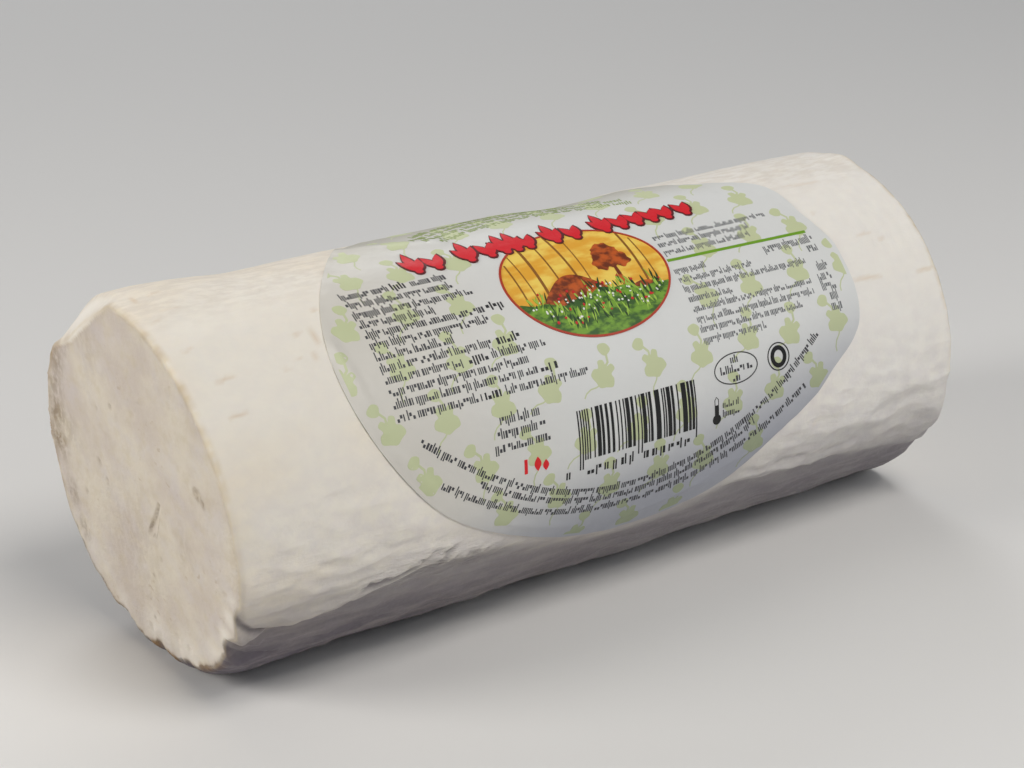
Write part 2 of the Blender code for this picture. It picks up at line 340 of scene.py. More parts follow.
# Brownish blotches on the near cut, and broad faint darkenings: beside the axis, above it, radius, strength
STAINS = (
    (28.5, 25.0, 6.0, 0.5),
    (31.5, 19.5, 6.5, 0.5),
    (33.5, 13.5, 6.5, 0.4),
    (34.8, 6.5, 7.0, 0.55),
    (35.8, -0.5, 7.0, 0.6),
    (4.0, -14.0, 21.0, 0.13),
    (30.0, 4.0, 8.0, 0.25),
    (33.0, -12.0, 5.0, 0.45),
    (29.5, -19.5, 4.0, 0.4),
    (15.0, 28.0, 9.0, 0.15),
    (-18.0, -6.0, 8.0, 0.12),
    (-26.5, 9.4, 2.4, 0.6),
    (-28.2, 7.9, 1.7, 0.5),
    (-2.5, -17.7, 0.7, 0.9),
    (-0.3, -28.6, 0.9, 1.0),
    (14.3, 13.8, 0.8, 0.6),
    (7.6, 16.4, 1.1, 0.5),
    (16.7, 0.8, 1.6, 0.4),
    (13.8, -2.5, 1.6, 0.4),
    (25.0, -9.1, 1.4, 0.4),
    (2.0, -31.5, 1.5, 0.4),
    (-6.8, -12.8, 1.2, 0.3),
)
# Whiter crumbly places near its rim, in the same way; the two broad ones at its foot are painted light
PALE_PATCHES_AND_LIGHT = (
    (-35.5, -10.0, 2.6, 0.35),
    (-33.5, -14.5, 3.4, 0.6),
    (-31.0, -19.5, 3.8, 0.7),
    (-26.0, -25.5, 4.6, 0.4),
    (-13.0, -31.0, 8.0, 0.45),
    (0.0, -32.0, 8.0, 0.5),
    (14.0, -31.0, 5.0, 0.35),
    (24.0, -25.0, 6.0, 0.2),
)

# Words of the label, as rows of plain blocks.
# One sign of a word: its width as a share of the advance, then its foot and top in letter heights
SIGNS = (
    (0.28, 0.0, 1.0),
    (0.28, 0.0, 1.0),
    (0.28, 0.0, 1.0),
    (0.5, 0.0, 1.0),
    (0.28, 0.0, 1.45),
    (0.28, -0.35, 1.0),
    (0.55, 0.5, 1.0),
    (0.55, 0.0, 0.5),
)
SIGN_GAP = 0.24
WORD_GAP = 0.5
# The left block: arc and right end of each line
TEXT_LEFT = -55.0
TEXT_LINES = (
    (47.5, -30.0),
    (44.8, -29.5),
    (42.0, -26.5),
    (39.5, -37.0),
    (37.0, -21.5),
    (34.4, -26.0),
    (31.8, -36.5),
    (29.3, -22.0),
    (26.8, -16.5),
    (24.2, -22.0),
    (21.7, -15.0),
    (19.0, -8.5),
)
# Stretches of the left block set in heavier words: line's arc, from x to x
BOLD_WORDS = ((47.5, -43.0, -39.0), (37.0, -26.0, -21.5), (29.3, -27.5, -22.0), (26.8, -35.5, -30.5),
              (21.7, -20.0, -15.0), (19.0, -34.5, -30.0))
# Lines left of the stripes: from x, to x, arc
WEIGHT_LINES = ((-32.5, -22.5, 13.5), (-33.5, -22.0, 10.7), (-34.5, -21.0, 8.0))
# Lines along the lower edge: from x, to x, the x where the line is lowest, its arc there, bend
EDGE_LINES = (
    (-51.5, 53.5, 0.5, -8.6, 0.0080),
    (-39.0, 34.0, 0.5, -10.7, 0.0078),
    (-48.0, 48.5, 0.5, -13.2, 0.0070),
)
# Lines at the top: from x, to x, arc
TOP_LINES = ((-23.0, 28.0, 64.0), (-26.0, 27.0, 66.6), (-28.0, 24.0, 69.2), (-26.0, 16.0, 71.8))
# The table on the right: arc and right end of its heading, then of its lines with where the
# value starts, or 0
TABLE_HEAD = ((45.0, 54.5), (42.8, 48.5), (40.4, 47.0))
TABLE_LEFT = 22.0
TABLE_RIGHT = 62.0
TABLE_LINES = (
    (35.3, 31.0, 47.5),
    (33.0, 43.0, 59.0),
    (30.7, 57.0, 0.0),
    (28.2, 34.0, 59.0),
    (25.9, 56.0, 58.0),
    (23.5, 55.5, 58.0),
    (21.2, 51.0, 59.5),
    (18.8, 39.5, 59.0),
)
X_HEIGHT = 1.4
TABLE_X_HEIGHT = 1.15

# Stripes and small marks. The stripes at both ends and in the middle reach lower
STRIPES_LEFT = -14.0
STRIPES_RIGHT = 17.2
STRIPES_TOP = 11.5
STRIPES_FOOT = 0.8
LOW_STRIPES_FOOT = -1.2
STRIPE_WIDTHS = (0.3, 0.3, 0.33, 0.62, 0.66, 0.95, 1.25)
STRIPE_GAPS = (0.3, 0.33, 0.4, 0.65, 0.9)

# The headline: a row of red blooms in four groups, at each x the height of one
HEADLINE_BASE = 50.4
HEADLINE_PLACES = (
    (-34.3, 7.6), (-29.4, 4.9),
    (-21.3, 7.4), (-16.2, 4.8), (-12.3, 7.2), (-9.4, 7.2), (-6.3, 4.7),
    (0.7, 7.3), (5.8, 4.6),
    (14.0, 7.2), (18.6, 4.6), (22.8, 4.5), (27.0, 4.5), (31.0, 4.6), (36.2, 4.5),
)
# Petals of a tall and of a low bloom: length as a share of its height, width, lean
TALL_BLOOM = ((0.76, 2.1, 25.0), (0.76, 2.1, -25.0), (1.05, 2.3, 0.0))
LOW_BLOOM = ((1.1, 2.2, 21.0), (1.1, 2.2, -21.0))
BLOOM_EDGE = 0.35

# Leaves printed all over the film, under everything else
LEAF_PITCH = (13.0, 11.6)
LEAF_START = (1.0, -18.0)
LEAF_ROWS = 10
LEAF_COLUMNS = 6
LEAF_SIZE = 2.7
LEAF_LIMIT = 0.985
# A broad leaf with five soft tips, in shares of its size, its foot upwards
LEAF = ((0.0, -1.15), (0.5, -0.9), (1.08, -0.62), (0.96, 0.0), (0.62, 0.26), (0.78, 0.78),
        (0.36, 1.0), (0.0, 0.62), (-0.42, 0.98), (-0.84, 0.72), (-0.64, 0.22), (-1.0, -0.02),
        (-1.08, -0.58), (-0.5, -0.9))
BUD = ((-2.5, 4.2), (-1.2, 3.7), (-0.4, 4.2), (0.1, 5.6), (-1.1, 6.4), (-2.3, 6.0), (-3.0, 5.2))
NECK = ((-0.2, 1.5), (0.15, 2.7), (-0.7, 4.3))
STALK = ((-0.2, -2.4), (-1.0, -3.4), (-2.2, -4.3), (-2.9, -5.5), (-3.0, -6.6))

# The picture: a generic autumn meadow in an oval
PICTURE_PLACE = (0.8, 39.3)
PICTURE_HALF = (20.5, 14.3)
# The tree's crown, as three ovals: x, arc, half width, half height
CROWNS = ((8.6, 43.6, 3.4, 3.7), (6.2, 41.8, 2.3, 2.2), (11.2, 41.6, 2.2, 2.0))
# Trunks behind the meadow: x and width
TRUNKS = (
    (-16.2, 0.4), (-13.4, 0.3), (-10.6, 0.7), (-6.2, 0.4),
    (-1.4, 0.55), (1.0, 0.3), (14.6, 0.6), (17.4, 0.35),
)

# The camera: its shifts and distance are millimetres
CAMERA_AZIMUTH = math.radians(-34.8887)
CAMERA_ELEVATION = math.radians(21.7172)
CAMERA_DISTANCE = 471.1408
CAMERA_RIGHT_SHIFT = 2.6792
CAMERA_UP_SHIFT = -1.6729
FOCAL_PIXELS = 2100.0
PICTURE_WIDTH = 1024.0
SENSOR = 36.0
# Soft lights: place, what it points at and width in metres, power in watts, colour
LIGHTS = (
    ("above", (0.08, -0.50, 0.85), (0.0, 0.0, 0.04), 0.45, 4.3, (1.0, 0.965, 0.915)),
    ("left", (-0.92, 0.24, 0.50), (-0.05, 0.0, 0.04), 0.45, 5.2, (1.0, 0.97, 0.93)),
    ("front", (0.5, -0.8, 0.6), (0.0, 0.0, 0.04), 0.6, 2.0, (0.96, 0.98, 1.0)),
    ("behind", (0.7, 1.9, 1.2), (0.6, 1.6, 0.0), 1.2, 17.0, (1.0, 1.0, 1.0)),
)
WORLD_COLOUR = (0.80, 0.87, 1.0)
WORLD_STRENGTH = 0.12
# Half the floor's width in metres
FLOOR_HALF = 3.0


def ease(start, end, value):
    """0 before start, 1 after end, and a smooth rise between them."""
    t = min(max((value - start) / (end - start), 0.0), 1.0)
    return t * t * (3.0 - 2.0 * t)


def bell(distance, half_width):
    """1 at no distance, 0 from half_width on, smooth between."""
    t = min(abs(distance) / half_width, 1.0)
    return (1.0 - t * t) ** 2


def turn_between(a, b):
    """The smaller turn from angle b to angle a, in degrees, -180 to 180."""
    return (a - b + 180.0) % 360.0 - 180.0


def along_line(points, x):
    """Height at x of a smooth line through the points, which run in order of x."""
    for (x0, y0), (x1, y1) in zip(points, points[1:]):
        if x <= x1:
            return y0 + (y1 - y0) * ease(x0, x1, x)
    return points[-1][1]


def from_segment(point, start, end):
    """Distance of a flat point from the straight line between two others."""
    (px, py), (ax, ay), (bx, by) = point, start, end
    length = (bx - ax) ** 2 + (by - ay) ** 2
    t = min(max(((px - ax) * (bx - ax) + (py - ay) * (by - ay)) / length, 0.0), 1.0)
    return math.hypot(px - ax - t * (bx - ax), py - ay - t * (by - ay))


def label_reach(direction):
    """The label edge's share of the oval's radius in a direction, in degrees."""
    return along_line(CLOSED_LABEL_EDGE, direction % 360.0)


def label_share(x, arc):
    """How far out a place is on the label: below 1 on it, above 1 clear of it."""
    across = (x - LABEL_X) / LABEL_HALF_LENGTH
    up = (arc - LABEL_ARC) / LABEL_HALF_HEIGHT
    return math.hypot(across, up) / label_reach(math.degrees(math.atan2(up, across)))


def label_cover(angle, x):
    """1 on the rind under the label, 0 clear of it."""
    across = (x - LABEL_X) / LABEL_HALF_LENGTH
    up = (turn_between(angle, 0.0) * ARC_PER_DEGREE - LABEL_ARC) / LABEL_HALF_HEIGHT
    out = math.hypot(across, up)
    edge = label_reach(math.degrees(math.atan2(up, across)))
    return 1.0 - ease(edge, edge + LABEL_SMOOTH_MARGIN, out)


def rind_noise(angle, x, length, width):
    """Smooth noise on the rind, -1 to 1, stretched to this length along X and width round it."""
    turn = math.radians(angle)
    share = LOG_RADIUS / width
    return noise.noise(Vector((x / length, share * math.cos(turn), share * math.sin(turn))))


def ridged(value):
    """Noise folded into sharp crests: 1 on a crest, below 0 between."""
    return 1.0 - RIDGE_SHARPNESS * abs(value)


def wrinkles(angle, x):
    strength = 0.0
    for centre, half_width, share in WRINKLE_BANDS:
        strength = max(strength, share * bell(turn_between(angle, centre), half_width))
    return WRINKLE_HEIGHT * strength * rind_noise(angle, x, WRINKLE_LENGTH, WRINKLE_WIDTH)


def ledge(angle, x):
    """Depth of the ledge: a quick step down below its line, which fades towards the underside."""
    arc = turn_between(angle, 0.0) * ARC_PER_DEGREE
    below = along_line(LEDGE_LINE, x) - arc
    step = ease(-0.5 * LEDGE_STEP, 0.5 * LEDGE_STEP, below)
    fade = 1.0 - ease(0.0, LEDGE_REACH, below)
    lip = LEDGE_LIP * bell(below + 0.5 * LEDGE_LIP_WIDTH, LEDGE_LIP_WIDTH)
    return (LEDGE_DEPTH * step * fade - lip) * (1.0 - ease(LEDGE_FADE_START, LEDGE_FADE_END, x))


def smooth_radius(angle, x):
    """Distance of the rind from the axis where it is smooth, as under the label."""
    radius = LOG_RADIUS
    radius += UNEVEN_HEIGHT * rind_noise(angle, x, UNEVEN_SIZE, UNEVEN_SIZE)
    for form_x, form_angle, half_length, half_angle, height in RIND_FORMS:
        spread = math.hypot((x - form_x) / half_length, turn_between(angle, form_angle) / half_angle)
        radius += height * bell(spread, 1.0)
    return radius


def straight_line(points, x):
    """Height at x of a line through the points, which run in order of x."""
    for (x0, y0), (x1, y1) in zip(points, points[1:]):
        if x <= x1:
            return y0 + (y1 - y0) * (x - x0) / (x1 - x0)
    return points[-1][1]


def fold_height(above, half_width, ridge, groove):
    """Height across a fold: a gentle slope up to its crest, then a steep drop into its groove."""
    if above > 0.0:
        crest = max(1.0 - above / (2.0 * half_width), 0.0) ** 2
    else:
        crest = max(1.0 + 2.0 * above / half_width, 0.0)
    return ridge * crest - groove * bell(above + GROOVE_BELOW * half_width, GROOVE_WIDTH * half_width)


def long_creases(arc, x):
    """The named creases, wavy and fading at their ends: their height, and how far in a groove."""
    height = 0.0
    groove_share = 0.0
    wave = 1.2 * noise.noise(Vector((x / 4.0, arc / 5.0, 8.0)))
    wave += 0.6 * noise.noise(Vector((x / 1.8, arc / 3.0, 2.0)))
    share = max(0.7 + 1.5 * noise.noise(Vector((x / 4.0, arc / 2.5, 5.0))), 0.0)
    for half_width, ridge, groove, line in LONG_CREASES:
        start = line[0][0]
        end = line[-1][0]
        if start < x < end:
            above = arc - straight_line(line, x) + wave
            if abs(above) < 2.0 * half_width:
                ends = ease(start, start + CREASE_FADE, x) * (1.0 - ease(end - CREASE_FADE, end, x))
                fade = share * ends
                height += fade * fold_height(above, half_width, ridge, groove)
                floor = bell(above + GROOVE_BELOW * half_width, GROOVE_WIDTH * half_width)
                groove_share = max(groove_share, fade * groove / DARK_GROOVE * floor)
    return height, min(groove_share, 1.0)


def tan_share(arc, x):
    """How tan the rind is at a place: 0 away from the dashes."""
    share = 0.0
    for x0, arc0, x1, arc1, half_width, strength in TAN_DASHES:
        if x0 - 2.0 < x < x1 + 2.0:
            drift = 0.35 * noise.noise(Vector((x / 1.5, arc0, 1.0)))
            gap = from_segment((x, arc + drift), (x0, arc0), (x1, arc1))
            taper = bell(math.hypot(x - 0.5 * (x0 + x1), arc - 0.5 * (arc0 + arc1)),
                         0.7 * math.hypot(x1 - x0, arc1 - arc0))
            share = max(share, strength * taper ** 0.5 * bell(gap, half_width))
    return share


def flap(arc, x):
    """The torn flap of rind by the near rim, low in front: its height, and how far in a groove."""
    height = 0.0
    groove_share = 0.0
    if x < FLAP_END:
        for half_width, size, line in FLAP_LINES:
            gaps = [from_segment((x, arc), a, b) for a, b in zip(line, line[1:])]
            share = bell(min(gaps), half_width)
            height += size * share
            if size < 0.0:
                groove_share = max(groove_share, share)
    return height, groove_share


def crinkle_share(arc, x):
    """How crinkled the rind is: most along the ledge's middle, a little all over."""
    above = arc - along_line(LEDGE_LINE, x) - CRINKLE_RISE
    ledge_share = bell(above, CRINKLE_HALF_WIDTH) * bell(x - CRINKLE_X, CRINKLE_HALF_LENGTH)
    return max(ledge_share, CRINKLE_ELSEWHERE * (1.0 - ease(-6.0, 8.0, arc)))


def fine_wrinkles(angle, x):
    """Small sharp wrinkles that run along the log."""
    low = 1.0 - ease(-0.3, 0.45, math.sin(math.radians(angle)))
    height = 0.0
    for number, (length, width, size_low, size_high) in enumerate(FINE_WRINKLES):
        crest = ridged(rind_noise(angle, x + number * LOG_LENGTH, length, width))
        height += (size_high + (size_low - size_high) * low) * crest
    return height


def fine_relief(angle, x):
    """What stands on the bare rind beyond the solid's own wrinkles."""
    arc = turn_between(angle, 0.0) * ARC_PER_DEGREE
    back_arc = turn_between(180.0 - angle, 0.0) * ARC_PER_DEGREE
    height = fine_wrinkles(angle, x) + flap(arc, x)[0]
    crinkle = ridged(rind_noise(angle, x, *CRINKLE_SIZE))
    height += CRINKLE_HEIGHT * crinkle_share(arc, x) * crinkle
    height += long_creases(arc, x)[0] + long_creases(back_arc, -x)[0]
    for lump_x, lump_arc, half_x, half_arc, size in LUMPS:
        height += size * bell(math.hypot((x - lump_x) / half_x, (arc - lump_arc) / half_arc), 1.0)
    height += BLOOM_HEIGHT * rind_noise(angle, x, BLOOM_SIZE, BLOOM_SIZE)
    drift = 1.5 * rind_noise(angle, x, 9.0, 14.0)
    window = bell(x - 78.0, 24.0) * (0.4 + 0.6 * bell(turn_between(angle, 60.0), 90.0))
    height += RIPPLE_HEIGHT * window * math.sin(2.0 * math.pi * x / RIPPLE_LENGTH + drift)
    return height


def rind_radius(angle, x):
    bare = 1.0 - label_cover(angle, x)
    return smooth_radius(angle, x) + bare * (wrinkles(angle, x) - ledge(angle, x) + fine_relief(angle, x))


def rim_loss(losses, angle, inward):
    """What the rim has lost at an angle, at a distance inward along X from the end's face."""
    lost = EDGE_ROUND * (1.0 - ease(0.0, 2.0 * EDGE_ROUND, inward))
    for centre, half_angle, depth, reach in losses:
        share = bell(turn_between(angle, centre), half_angle)
        near = 1.0 - min(inward / reach, 1.0)
        if depth > FLAT_FROM:
            lost += depth * math.sqrt(share) * near
        else:
            lost += depth * share * near ** 1.5
    if inward < CHIP_REACH:
        crumbs = abs(rind_noise(angle, len(losses) * LOG_LENGTH, LOG_LENGTH, CHIP_SIZE))
        depth = CHIP_DEPTH + CHIP_EXTRA * bell(turn_between(angle, -85.0), 70.0)
        depth *= 1.0 if losses is NEAR_RIM_LOSSES else FAR_CHIP_SHARE
        lost += depth * crumbs * (1.0 - inward / CHIP_REACH) ** 2
    return lost


def end_plane(side, y, z):
    """X of the near (-1) or far (1) cut at a place beside (y) and above (z) the axis."""
    lean = NEAR_LEAN if side < 0 else FAR_LEAN
    return side * 0.5 * LOG_LENGTH + lean[0] * y + lean[1] * z


def on_log(x, y, z):
    """A place given from the middle of the log's axis, in the part's frame, never below the base."""
    return Vector((AXIS_X + x, AXIS_Y + y, max(AXIS_HEIGHT + z, 0.0)))


def on_rind(angle, x, radius):
    turn = math.radians(angle)
    return on_log(x, -radius * math.cos(turn), radius * math.sin(turn))


def rind_point(angle, share):
    """A point of the rind at an angle, at a share of the way from the near end to the far one."""
    turn = math.radians(angle)
    y = -LOG_RADIUS * math.cos(turn)
    z = LOG_RADIUS * math.sin(turn)
    near_x = end_plane(-1, y, z)
    far_x = end_plane(1, y, z)
    x = near_x + share * (far_x - near_x)
    radius = rind_radius(angle, x)
    radius -= rim_loss(NEAR_RIM_LOSSES, angle, x - near_x)
    radius -= rim_loss(FAR_RIM_LOSSES, angle, far_x - x)
    return on_rind(angle, x, radius)


def column_angle(index):
    """Angle of a column, the columns closer together low in front, where the rind is bare."""
    t = index / COLUMNS
    return FRONT_MIDDLE + 360.0 * (t - FRONT_CROWDING * math.sin(2.0 * math.pi * t) / (2.0 * math.pi))


def station_share(index):
    """Share along the log of a station, the stations closer together near both ends."""
    t = index / (STATIONS - 1)
    return t - END_CROWDING * math.sin(2.0 * math.pi * t) / (2.0 * math.pi)


# Flat outlines and how they are filled

def grid_inside(outline, pitch):
    """Points of a staggered grid that lie inside an outline, clear of its edge."""
    edge = np.array(outline)
    low = edge.min(axis=0)
    high = edge.max(axis=0)
    rows = []
    for number, up in enumerate(np.arange(low[1] + 0.5 * pitch, high[1], 0.866 * pitch)):
        across = np.arange(low[0] + (0.25 + 0.5 * (number % 2)) * pitch, high[0], pitch)
        rows.append(np.stack([across, np.full(len(across), up)], axis=1))
    if not rows:
        return []
    grid = np.concatenate(rows)
    inside = np.zeros(len(grid), bool)
    clear = np.ones(len(grid), bool)
    for a, b in zip(edge, np.roll(edge, -1, axis=0)):
        step = b - a
        if a[1] != b[1]:
            crosses = (a[1] > grid[:, 1]) != (b[1] > grid[:, 1])
            inside ^= crosses & (grid[:, 0] < a[0] + (grid[:, 1] - a[1]) * step[0] / step[1])
        along = np.clip((grid - a) @ step / (step @ step), 0.0, 1.0)
        gap = grid - a - along[:, None] * step
        clear &= np.hypot(gap[:, 0], gap[:, 1]) > 0.5 * pitch
    return [tuple(point) for point in grid[inside & clear]]


def in_spot(place, spots):
    return any(math.hypot(place[0] - x, place[1] - y) < radius for x, y, radius in spots)


def fill(outline, pitch, spots=()):
    """Points and triangles that fill an outline, closer in the spots; the outline's points come first."""
    points = list(outline) + [place for place in grid_inside(outline, pitch) if not in_spot(place, spots)]
    if spots:
        points += [place for place in grid_inside(outline, SPOT_PITCH) if in_spot(place, spots)]
    flat = [Vector(point) for point in points]
    loop = list(range(len(outline)))
    filled = geometry.delaunay_2d_cdt(flat, [], [loop], 1, 1e-5)
    source = [first[0] if first else None for first in filled[3]]
    triangles = [tuple(source[i] for i in face) for face in filled[2]]
    return points, [face for face in triangles if None not in face and len(set(face)) == 3]


def spaced(outline, pitch):
    """The outline with points added so that no two in order are further apart than pitch."""
    result = []
    for (ax, ay), (bx, by) in zip(outline, outline[1:] + outline[:1]):
        steps = max(1, math.ceil(math.hypot(bx - ax, by - ay) / pitch))
        result += [(ax + (bx - ax) * k / steps, ay + (by - ay) * k / steps) for k in range(steps)]
    return result


# Making objects

def put_in_scene(name, data):
    thing = bpy.data.objects.new(name, data)
    bpy.context.scene.collection.objects.link(thing)
    return thing


def new_object(name, points, faces, material, corners, marks=None):
    """A mesh object. corners gives each face its places in the bake's map, marks are values by point."""
    data = bpy.data.meshes.new(name)
    data.from_pydata([point * MM for point in points], [], faces)
    layer = data.uv_layers.new(name="OFBake")
    layer.data.foreach_set("uv", [value for face in corners for corner in face for value in corner])
    for mark, values in (marks or {}).items():
        attribute = data.attributes.new(mark, "FLOAT", "POINT")
        attribute.data.foreach_set("value", values)
    mesh = bmesh.new()
    mesh.from_mesh(data)
    bmesh.ops.recalc_face_normals(mesh, faces=mesh.faces[:])
    mesh.to_mesh(data)
    mesh.free()
    data.materials.append(material)
    data.shade_smooth()
    return put_in_scene(name, data)


class Look:
    """A material's nodes: each call makes one and returns its output."""

    def __init__(self, name):
        self.material = bpy.data.materials.new(name)
        self.material.use_nodes = True
        self.tree = self.material.node_tree
        self.shader = self.tree.nodes["Principled BSDF"]
        self.coordinates = self.tree.nodes.new("ShaderNodeTexCoord").outputs["Object"]

    def set(self, **values):
        """Sets the shader's own sockets; an underscore stands for a space."""
        for name, value in values.items():
            self.shader.inputs[name.replace("_", " ")].default_value = value

    def feed(self, socket, value):
        """Joins an output to a socket, or sets the socket to a plain value."""
        if isinstance(value, bpy.types.NodeSocket):
            self.tree.links.new(value, socket)
        else:
            socket.default_value = value

    def noise(self, size, detail=3.0, shift=0.0, rough=0.5):
        """Noise 0 to 1 whose blotches are about this large along X, Y and Z."""
        mapping = self.tree.nodes.new("ShaderNodeMapping")
        mapping.inputs["Location"].default_value = (shift, shift, shift)
        mapping.inputs["Scale"].default_value = tuple(1.0 / (side * MM) for side in size)
        self.tree.links.new(self.coordinates, mapping.inputs["Vector"])
        texture = self.tree.nodes.new("ShaderNodeTexNoise")
        texture.inputs["Scale"].default_value = 1.0
        texture.inputs["Detail"].default_value = detail
        texture.inputs["Roughness"].default_value = rough
        self.tree.links.new(mapping.outputs["Vector"], texture.inputs["Vector"])
        return texture.outputs["Fac"]

    def place(self, axis):
        """Millimetres along the log (X), away from the front (Y) or above the base (Z)."""
        split = self.tree.nodes.new("ShaderNodeSeparateXYZ")
        self.tree.links.new(self.coordinates, split.inputs["Vector"])
        return self.sum("MULTIPLY", split.outputs[axis], 1.0 / MM)

    def grain(self):
        """The finest noise of film and ink."""
        return self.noise((0.7, 0.7, 0.7), 2.0, 3.0)

    def film_waves(self):
        """The bump of the film's broad waves."""
        return self.bump(self.noise((7, 5, 5), 2.0, 2.0), 0.25)

    def mark(self, name):
        attribute = self.tree.nodes.new("ShaderNodeAttribute")
        attribute.attribute_name = name
        return attribute.outputs["Fac"]

    def ramp(self, value, start, end, low=0.0, high=1.0):
        """low up to start, high from end on, and a smooth change between them."""
        node = self.tree.nodes.new("ShaderNodeMapRange")
        node.interpolation_type = "SMOOTHSTEP"
        self.feed(node.inputs["Value"], value)
        settings = {"From Min": start, "From Max": end, "To Min": low, "To Max": high}
        for name, setting in settings.items():
            node.inputs[name].default_value = setting
        return node.outputs["Result"]

    def sum(self, kind, a, b):
        """A sum of two values: MULTIPLY, ADD, SUBTRACT, or ABSOLUTE of the first."""
        node = self.tree.nodes.new("ShaderNodeMath")
        node.operation = kind
        self.feed(node.inputs[0], a)
        self.feed(node.inputs[1], b)
        return node.outputs["Value"]

    def mix(self, factor, a, b):
        """Colour a where factor is 0, b where it is 1."""
        node = self.tree.nodes.new("ShaderNodeMix")
        node.data_type = "RGBA"
        self.feed(node.inputs["Factor"], factor)
        self.feed(node.inputs["A"], a)
        self.feed(node.inputs["B"], b)
        return node.outputs["Result"]

    def bump(self, height, distance, onto=None):
        node = self.tree.nodes.new("ShaderNodeBump")
        node.inputs["Distance"].default_value = distance * MM
        self.feed(node.inputs["Height"], height)
        if onto is not None:
            self.tree.links.new(onto, node.inputs["Normal"])
        return node.outputs["Normal"]

    def finish(self, colour, roughness, normal=None):
        self.feed(self.shader.inputs["Base Color"], colour)
        self.feed(self.shader.inputs["Roughness"], roughness)
        if normal is not None:
            self.feed(self.shader.inputs["Normal"], normal)
        return self.material

    def finish_satin(self, colour, gloss, smoothest, normal=None):
        """A satin surface, its roughness uneven from the smoothest up."""
        self.set(Specular_IOR_Level=gloss)
        return self.finish(colour, self.ramp(self.grain(), 0.3, 0.7, smoothest, smoothest + 0.12), normal)


def shade(red, green, blue):
    """A colour as a screen shows it, 0 to 255, as the linear colour that a shader takes."""
    linear = [((c / 255.0 + 0.055) / 1.055) ** 2.4 if c > 10 else c / 3294.6 for c in (red, green, blue)]
    return (*linear, 1.0)


# Colours
RIND_CREAM = shade(240, 230, 212)
RIND_WHITE = shade(240, 234, 222)
RIND_COOL = shade(240, 237, 231)
# Painted shade: the colour of the rind's underside, its grooves and below the ledge
RIND_PAINTED_SHADE = shade(100, 93, 103)
RIND_MAUVE = shade(214, 207, 211)
RIND_CREST_GREY_AND_SHADE = shade(214, 204, 190)
RIND_TAN = shade(214, 190, 158)
RIM_YELLOW = shade(226, 210, 176)
RIM_BROWN = shade(152, 118, 72)
FILM_WARM = shade(214, 210, 201)
FILM_WHITE = shade(221, 222, 220)
FILM_PAINTED_LOW_SHADE = shade(150, 153, 166)
# Painted shade of the film over the crest and on the back
FILM_PAINTED_BACK_SHADE = shade(170, 165, 148)
LEAF_GREEN = shade(199, 206, 164)
LEAF_PAINTED_LOW_SHADE = shade(142, 152, 126)
PASTE_PALE = shade(224, 214, 197)
PASTE_GREY = shade(211, 199, 187)
PASTE_WARM = shade(208, 194, 166)
PASTE_TAN = shade(180, 156, 120)
PASTE_SPECK_AND_SHADE = shade(144, 122, 94)
PALE_CRUMB_AND_LIGHT = shade(249, 243, 232)
FLOOR_COLOUR = shade(224, 223, 221)


